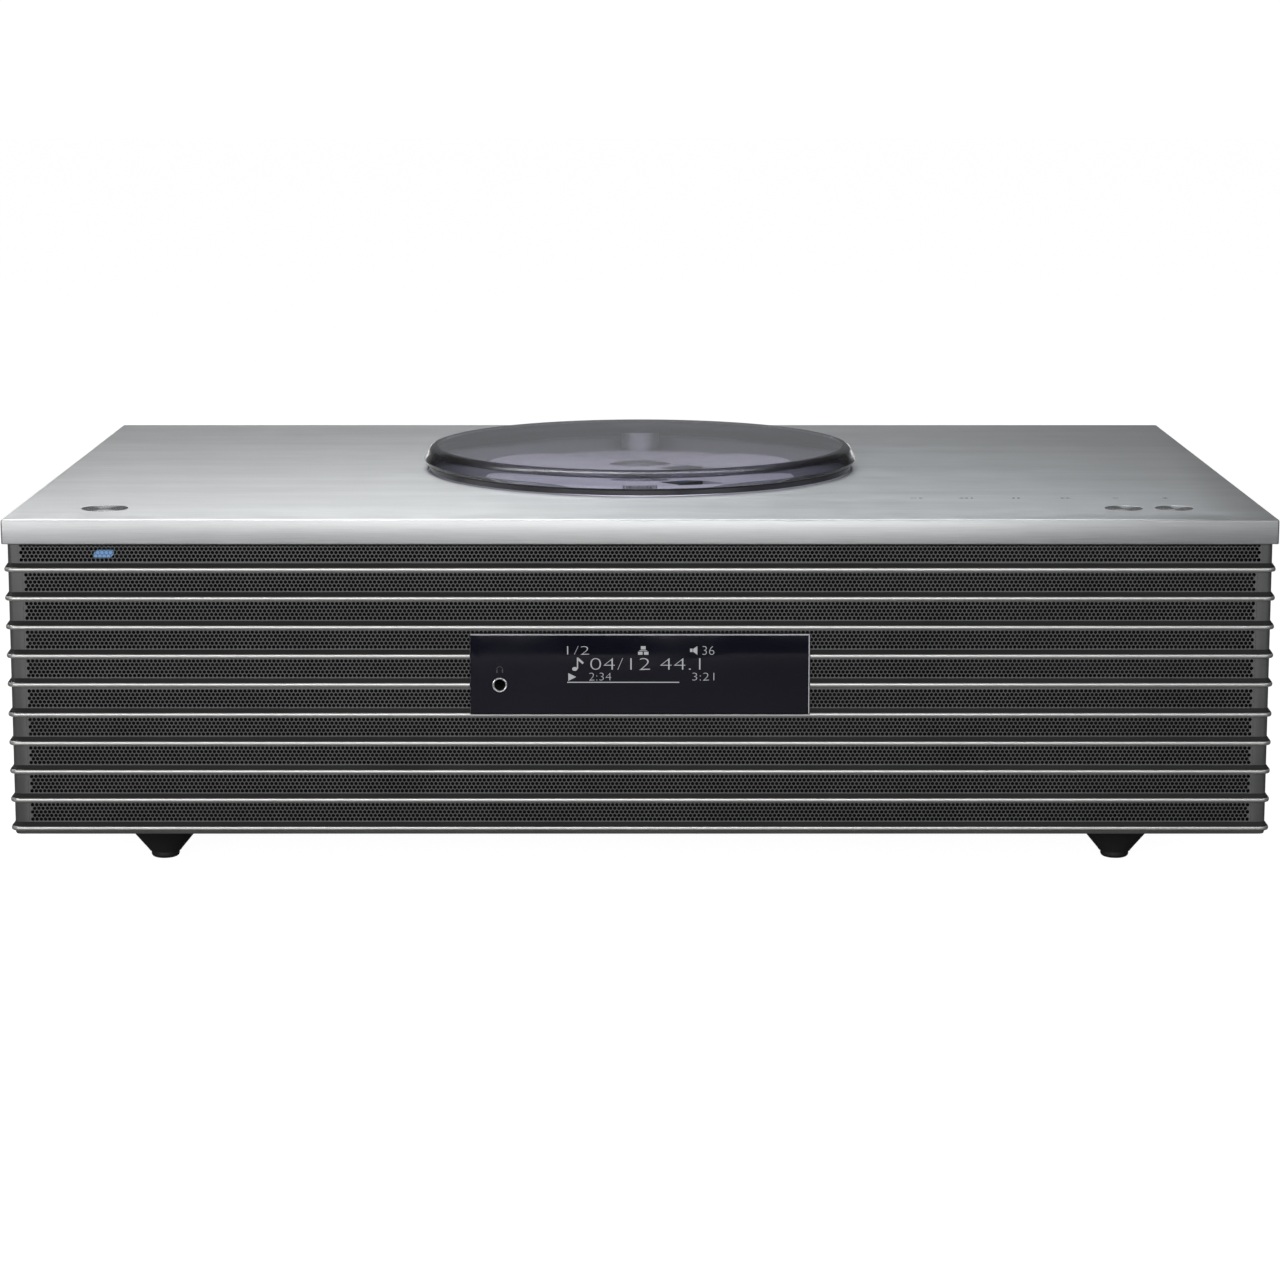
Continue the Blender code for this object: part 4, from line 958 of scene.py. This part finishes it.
def build_screen_figures():
    """What the lit screen shows: only numerals and plain symbols. Places are in millimetres."""
    left, right = -25.8, 26.3
    top_row, time_row, title_row = (85.0, 88.1), (75.7, 78.5), (79.5, 83.8)
    figures = [
        screen_number("1/2", left, -18.0, *top_row),
        screen_number("36", 22.1, right, *top_row),
        screen_number("04/12 44.1", -17.6, 21.4, *title_row),
        screen_number("2:34", -18.0, -10.2, *time_row),
        screen_number("3:21", 18.5, right, *time_row),
        screen_bar(left, 74.9, 13.9, 75.25),
        screen_shape([(-25.4, 75.6), (-22.6, 77.0), (-25.4, 78.4)]),
    ]
    # network: one square over two, joined
    figures += [screen_bar(0.3, 86.9, 2.0, 88.1), screen_bar(-0.7, 85.0, 0.9, 86.1)]
    figures += [screen_bar(1.4, 85.0, 3.0, 86.1), screen_bar(-0.2, 86.35, 2.5, 86.6)]
    # loudspeaker
    figures.append(screen_bar(17.7, 86.0, 18.6, 87.2))
    figures.append(screen_shape([(18.8, 86.1), (20.3, 85.0), (20.3, 88.1), (18.8, 87.1)]))
    # note
    figures += [screen_disc(-23.1, 79.9, 0.95, 0.7), screen_bar(-22.35, 80.0, -21.9, 84.0)]
    figures += [screen_shape([(-21.85, 84.0), (-21.85, 82.9), (-20.3, 81.6), (-19.9, 82.2)])]
    piece(joined("screen_figures", figures), CASE, "window_gloss")
    # headphones, over their socket
    x = middle("headphone_jack").x / MM
    mark = [screen_bar(x - 1.25, 78.5, x - 0.75, 79.6), screen_bar(x + 0.75, 78.5, x + 1.25, 79.6)]
    mark.append(screen_shape(arc((x, 79.7), 1.15, 0, 180, 12) + arc((x, 79.7), 0.9, 180, 0, 12)))
    for part in mark:
        part.data.materials[0] = MAT["socket_mark"]
    piece(joined("socket_mark", mark), CASE, "window_gloss")


# ---------------------------------------------------------------- lid, pivot, well and hub


def lid_part(name, profile, material, closed=True):
    return lathe(name, profile, material, steps=ROUND_STEPS, closed=closed, smooth=40)


def build_lid():
    top, under, radius = LID_TOP, LID_TOP - LID_SKIN, LID_RADIUS
    flat = 40 * MM
    disc = [(0, top), (flat, top), (LID_SPLIT, top - 0.04 * MM), (LID_SPLIT, under - 0.3 * MM)]
    disc += [(77.8 * MM, under), (flat, under), (0, under)]
    piece(lid_part("lid_shell", disc, "smoked_clear", False), "lid", "smoked_clear", "lid")
    # The wall's smoked acrylic is tinted darker and absorbs more than the disc's: painted shade.
    inner, meet = radius - LID_SKIRT, LID_SPLIT + JOIN
    wall = [(meet, top - 0.05 * MM)]
    for out, drop in ((80.4, 0.15), (81.5, 0.5), (82.4, 1.15), (82.95, 2.0), (83.25, 2.8)):
        wall.append((out * MM, top - drop * MM))
    for inset, rise in ((0.15, 0.3), (0, 0), (0.15, -0.35)):
        wall.append((radius - inset * MM, LID_WIDEST + rise * MM))
    wall += [(radius - LID_SEAM_INSET, LID_SEAM), (inner, LID_SEAM)]
    wall += [(80.6 * MM, top - 4.6 * MM), (80.2 * MM, top - 3.9 * MM), (meet, under - 0.31 * MM)]
    piece(lid_part("lid_wall", wall, "smoked_wall_painted_shade"), "lid", "smoked_clear")
    # The foot band is a near-black skirt reaching down to the plate: painted shade for the gap under the lid's rim.
    back, upper = inner - 0.6 * MM, LID_SEAM - JOIN
    edge = [(back, upper), (radius - LID_SEAM_INSET, upper)]
    edge += [(radius - 1.5 * MM, LID_FOOT + 0.1 * MM), (radius - 1.75 * MM, LID_FOOT)]
    edge += [(radius - 1.9 * MM, LID_LIP), (back, LID_LIP)]
    band = lathe("lid_foot_band", edge, "painted_shade_lid_foot", steps=ROUND_STEPS, closed=True)
    piece(band, "lid", "smoked_clear")
    build_pivot()


def build_pivot():
    """The round flange under the lid's rear and the polished shaft that it turns on."""
    foot, top = low("lid_flange").z, high("lid_flange").z
    radius, corner, chamfer = (high("lid_flange").x - low("lid_flange").x) / 2, 0.4 * MM, 0.3 * MM
    profile = [(0, top), (radius - corner, top)]
    profile += arc((radius - corner, top - corner), corner, 70, 0, 4)
    profile += [(radius, foot + chamfer), (radius - chamfer, foot), (0, foot)]
    flange = lathe("pivot_flange", profile, "pivot_dark", at=(PIVOT.x, PIVOT.y, 0))
    piece(flange, "lid", "polished_metal", "lid_flange")
    foot, top = low("lid_shaft").z, high("lid_shaft").z
    radius = (high("lid_shaft").x - low("lid_shaft").x) / 2
    profile = [(0, top), (radius - chamfer, top), (radius, top - chamfer), (radius, foot), (0, foot)]
    shaft = lathe("pivot_shaft", profile, "polished_metal", at=(PIVOT.x, PIVOT.y, 0))
    piece(shaft, "lid", "polished_metal", "lid_shaft")


def slot_cutter(name):
    """A straight slot through the bed, along the way the pickup slides."""
    lens = middle("pickup_lens")
    away = Vector((lens.x, lens.y, 0)).normalized()
    across = Vector((-away.y, away.x, 0))
    ends = ((SLOT_INNER, -1), (SLOT_OUTER, -1), (SLOT_OUTER, 1), (SLOT_INNER, 1))
    corners = [away * r + across * side * SLOT_HALF for r, side in ends]
    verts = [(c.x, c.y, z) for z in WELL_CUT for c in corners]
    faces = [(3, 2, 1, 0), (4, 5, 6, 7), (0, 1, 5, 4), (1, 2, 6, 5), (2, 3, 7, 6), (3, 0, 4, 7)]
    return from_arrays(name, verts, faces, "tray_slope", 0)


def build_well():
    rim, top, under = WELL_RADIUS - GAP, PLATE_TOP - GAP, low("disc_tray").z
    lip, lip_z, outer = rim - 0.9 * MM, top - 0.25 * MM, 90 * MM
    band_z = BED_Z + (lip_z - BED_Z) * (SLOPE_EDGE - BED_RADIUS) / (lip - BED_RADIUS)
    foot = BED_RADIUS + JOIN
    slope = [(foot, BED_Z + 0.01 * MM), (SLOPE_EDGE, band_z), (SLOPE_EDGE, under), (foot, under)]
    meet, shelf = SLOPE_EDGE + JOIN, PLATE_TOP - PLATE_SKIN - GAP
    edge = [(meet, band_z), (lip, lip_z), (rim - 0.5 * MM, top), (rim, top)]
    edge += [(rim, shelf), (outer, shelf), (outer, under), (meet, under)]
    bed = [(BED_BORE, BED_Z - 0.3 * MM), (BED_BORE + 0.3 * MM, BED_Z), (BED_RADIUS - 0.4 * MM, BED_Z)]
    bed += [(BED_RADIUS, BED_Z - 0.25 * MM), (BED_RADIUS, under), (BED_BORE, under)]
    ring = lathe("well_slope", slope, "tray_slope", steps=ROUND_STEPS, closed=True)
    rim_ring = lathe("well_rim", edge, "tray_slope", steps=ROUND_STEPS, closed=True)
    disc_bed = lathe("disc_bed", bed, "tray_bed", steps=ROUND_STEPS, closed=True)
    low_cut, high_cut = WELL_CUT
    bore = [(0, high_cut), (SHAFT_BORE, high_cut), (SHAFT_BORE, low_cut), (0, low_cut)]
    shaft_hole = lathe("shaft_cutter", bore, "tray_slope", at=(PIVOT.x, PIVOT.y, 0))
    cut(ring, [shaft_hole, slot_cutter("slot_a")])
    cut(disc_bed, [slot_cutter("slot_b")])
    piece(ring, CASE, "tray_plastic", "disc_tray")
    piece(rim_ring, CASE, "tray_plastic")
    piece(disc_bed, CASE, "tray_plastic")


def build_hub():
    top, foot = high("turntable_hub").z, low("turntable_hub").z
    flange_top, flange_under, boss_under = 130.9 * MM, 129.7 * MM, 127.8 * MM
    crown, flange, stem = 7.2 * MM, 11 * MM, 1.2 * MM
    dome = ((0, 0), (3, 0.05), (5.2, 0.3), (6.6, 0.75))
    profile = [(out * MM, top - drop * MM) for out, drop in dome]
    profile += [(crown, top - 1.35 * MM), (crown, flange_top), (flange - GAP, flange_top)]
    profile += [(flange, flange_top - GAP), (flange, flange_under), (4 * MM, flange_under)]
    profile += [(3 * MM, boss_under), (stem, boss_under), (stem, foot), (0, foot)]
    hub = lathe("hub_turned", profile, "polished_metal", steps=72)
    claws = []
    claw, claw_reach, claw_z = 1 * MM, 6.5 * MM, top - 1.3 * MM
    for turn in (90, 210, 330):
        angle = math.radians(turn)
        ball = [(0, claw)] + arc((0, 0), claw, 75, -75, 10) + [(0, -claw)]
        at = (claw_reach * math.cos(angle), claw_reach * math.sin(angle), claw_z)
        claws.append(lathe("claw", ball, "polished_metal", at=at, steps=24))
    cut(hub, claws, "UNION")
    piece(hub, "spindle", "polished_metal", "turntable_hub")


# ---------------------------------------------------------------- feet


def build_feet():
    foot, neck, pad_radius = 2.4 * MM, 2.7 * MM, 5.2 * MM
    pad_edge = 1.3 * MM
    for name in ("foot_front_left", "foot_front_right", "foot_rear_left", "foot_rear_right"):
        centre, top = middle(name), high(name).z
        base = (high(name).x - low(name).x) / 2
        profile = [(0, top), (base, top), (base, top - 0.7 * MM), (6.2 * MM, 3.0 * MM)]
        profile += [(5.9 * MM, 2.5 * MM), (5.5 * MM, foot), (0, foot)]
        cone = lathe(name + "_cone", profile, "black_plastic", at=(centre.x, centre.y, 0))
        tip = [(0, neck), (pad_radius, neck), (pad_radius, 1.6 * MM)]
        tip += arc((pad_radius - pad_edge, pad_edge), pad_edge, 0, -90, 6) + [(0, 0)]
        pad = lathe(name + "_pad", tip, "rubber_black", at=(centre.x, centre.y, 0), steps=64)
        piece(cone, CASE, "rubber_black", name)
        piece(pad, CASE, "rubber_black")


# ---------------------------------------------------------------- the rest keeps its CAD shape

KEPT_FINISH = {
    "rear_panel": "black_plastic",
    "base_plate": "black_metal",
    "display_module": "screen_glass",
    "status_light": "light_guide",
    "lid_bearing": "steel",
}


def finish_kept_nodes():
    slots = {row["node"]: row["material_slot"] for row in frame["record"]["subparts"]}
    for name, node in frame["nodes"].items():
        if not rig.alive(node) or node.hide_render:
            continue
        finish = KEPT_FINISH.get(name, slots[name])
        node.data.materials.clear()
        node.data.materials.append(MAT.get(finish, MAT["black_plastic"]))


# ---------------------------------------------------------------- stage, light and camera

ROOM_HORIZON, ROOM_CEILING = 0.02, 0.17  # strengths of the room's light, level and high up
CEILING_SINE = 0.9
BACKDROP = 1.05
PAPER = 0.97
FLOOR_REACH = 8
CAMERA_PLACE, CAMERA_AIM = (0, -1.2880, 0.3045), (0, 0.98852, -0.15110)
LENS, CAMERA_SHIFT = 92.85, -0.0844
# name, place, aim, width, watts, colour, height
LIGHTS = (
    ("front_low", (0, -1.9, 0.5), (0, 0, 0.1), 1.2, 11.0, (1, 1, 1), 0.4),
    ("front_left", (-1.2, -1.9, 0.4), (0, 0, 0.1), 1.0, 9.0, (1, 1, 1), 0.4),
    ("front_right", (1.4, -1.6, 0.9), (0, 0, 0.1), 1.0, 5.4, (0.93, 0.97, 1), 0.8),
    ("overhead_left", (-0.24, -0.05, 0.45), (-0.24, -0.1, 0.13), 0.45, 1.55, (1, 1, 1), 0.12),
    ("overhead_right", (0.06, -0.05, 0.45), (0.06, -0.1, 0.13), 0.4, 0.9, (0.93, 0.97, 1), 0.12),
    ("rear_haze", (0, 1.4, 0.42), (0, 0, 0.14), 1.6, 0.42, (0.93, 0.96, 1), 0.5),
    ("side_left", (-1.6, 0, 0.5), (0, 0, 0.1), 0.8, 1.7, (1, 1, 1), 0.6),
    ("side_right", (1.6, 0, 0.5), (0, 0, 0.1), 0.8, 0.5, (0.94, 0.97, 1), 0.6),
    ("back_low_left", (-0.8, 1.5, 0.05), (0, 0, 0.06), 1.2, 1.6, (1, 1, 1), 0.14),
    ("back_low_right", (0.8, 1.5, 0.05), (0, 0, 0.06), 1.2, 1.6, (1, 1, 1), 0.14),
)


def area_light(name, at, target, width, watts, colour, height):
    data = bpy.data.lights.new(name, "AREA")
    data.shape = "RECTANGLE"
    data.size, data.size_y = width, height
    data.energy = watts
    data.color = colour
    lamp = bpy.data.objects.new(name, data)
    lamp.location = at
    lamp.rotation_euler = (Vector(target) - Vector(at)).to_track_quat("-Z", "Y").to_euler()
    lamp.visible_camera = False
    lamp.visible_transmission = False  # the acrylic's shadow rays already bring the lamps' light in
    bpy.context.scene.collection.objects.link(lamp)


def sky_material(tree):
    """White behind the object for the camera; a dim studio, brighter above, for what it lights."""
    output = tree.nodes["World Output"]
    white = tree.nodes["Background"]
    white.inputs["Color"].default_value = (1, 1, 1, 1)
    white.inputs["Strength"].default_value = BACKDROP
    room = tree.nodes.new("ShaderNodeBackground")
    place = tree.nodes.new("ShaderNodeTexCoord")
    parts = tree.nodes.new("ShaderNodeSeparateXYZ")
    rise = tree.nodes.new("ShaderNodeMapRange")
    rise.inputs["From Max"].default_value = CEILING_SINE
    rise.inputs["To Min"].default_value = ROOM_HORIZON
    rise.inputs["To Max"].default_value = ROOM_CEILING
    path = tree.nodes.new("ShaderNodeLightPath")
    choice = tree.nodes.new("ShaderNodeMixShader")
    links = tree.links
    links.new(place.outputs["Generated"], parts.inputs["Vector"])
    links.new(parts.outputs["Z"], rise.inputs["Value"])
    links.new(rise.outputs["Result"], room.inputs["Strength"])
    links.new(path.outputs["Is Camera Ray"], choice.inputs["Fac"])
    links.new(room.outputs["Background"], choice.inputs[1])
    links.new(white.outputs["Background"], choice.inputs[2])
    links.new(choice.outputs["Shader"], output.inputs["Surface"])


def floor_material():
    """Pale paper for the camera, with a faint shadow, and a grey bounce for what it lights."""
    shader = Shader("pale_floor", (0.2, 0.2, 0.2), 0.9)
    shader.vary_colour(shader.noise(3), 0.99, 1.01)
    paper = shader.node("ShaderNodeEmission", Color=(1, 1, 1, 1), Strength=PAPER)
    both = shader.node("ShaderNodeAddShader")
    path = shader.node("ShaderNodeLightPath")
    choice = shader.node("ShaderNodeMixShader")
    shader.link(shader.bsdf.outputs["BSDF"], both.inputs[0])
    shader.link(paper.outputs["Emission"], both.inputs[1])
    shader.link(path.outputs["Is Camera Ray"], choice.inputs["Fac"])
    shader.link(shader.bsdf.outputs["BSDF"], choice.inputs[1])
    shader.link(both.outputs["Shader"], choice.inputs[2])
    shader.link(choice.outputs["Shader"], shader.tree.nodes["Material Output"].inputs["Surface"])
    return shader.material


def build_stage():
    corners = [(x * FLOOR_REACH, y * FLOOR_REACH, 0) for x, y in ((-1, -1), (1, -1), (1, 1), (-1, 1))]
    mesh = bpy.data.meshes.new("floor")
    mesh.from_pydata(corners, [], [(0, 1, 2, 3)])
    mesh.materials.append(floor_material())
    floor = bpy.data.objects.new("floor", mesh)
    bpy.context.scene.collection.objects.link(floor)
    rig.stage(floor)
    world = bpy.data.worlds.new("studio")
    world.use_nodes = True
    bpy.context.scene.world = world
    sky_material(world.node_tree)
    for row in LIGHTS:
        area_light(*row)


def build_camera():
    data = bpy.data.cameras.new("camera")
    data.sensor_width = 36
    data.lens = LENS
    data.shift_y = CAMERA_SHIFT
    camera = bpy.data.objects.new("camera", data)
    camera.location = CAMERA_PLACE
    camera.rotation_euler = Vector(CAMERA_AIM).to_track_quat("-Z", "Y").to_euler()
    bpy.context.scene.collection.objects.link(camera)
    bpy.context.scene.camera = camera
    bpy.context.scene.view_settings.view_transform = "Standard"


build_camera()
build_plate()
build_buttons()
build_touch_marks()
build_louvre()
build_grille()
build_display()
build_screen_figures()
build_status_light()
build_lid()
build_well()
build_hub()
build_feet()
finish_kept_nodes()
build_stage()

with open("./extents.json", "w") as out:
    json.dump({"cad": [list(c) for c in CAD_BOX], "visual": [list(c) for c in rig.bounds()]}, out)
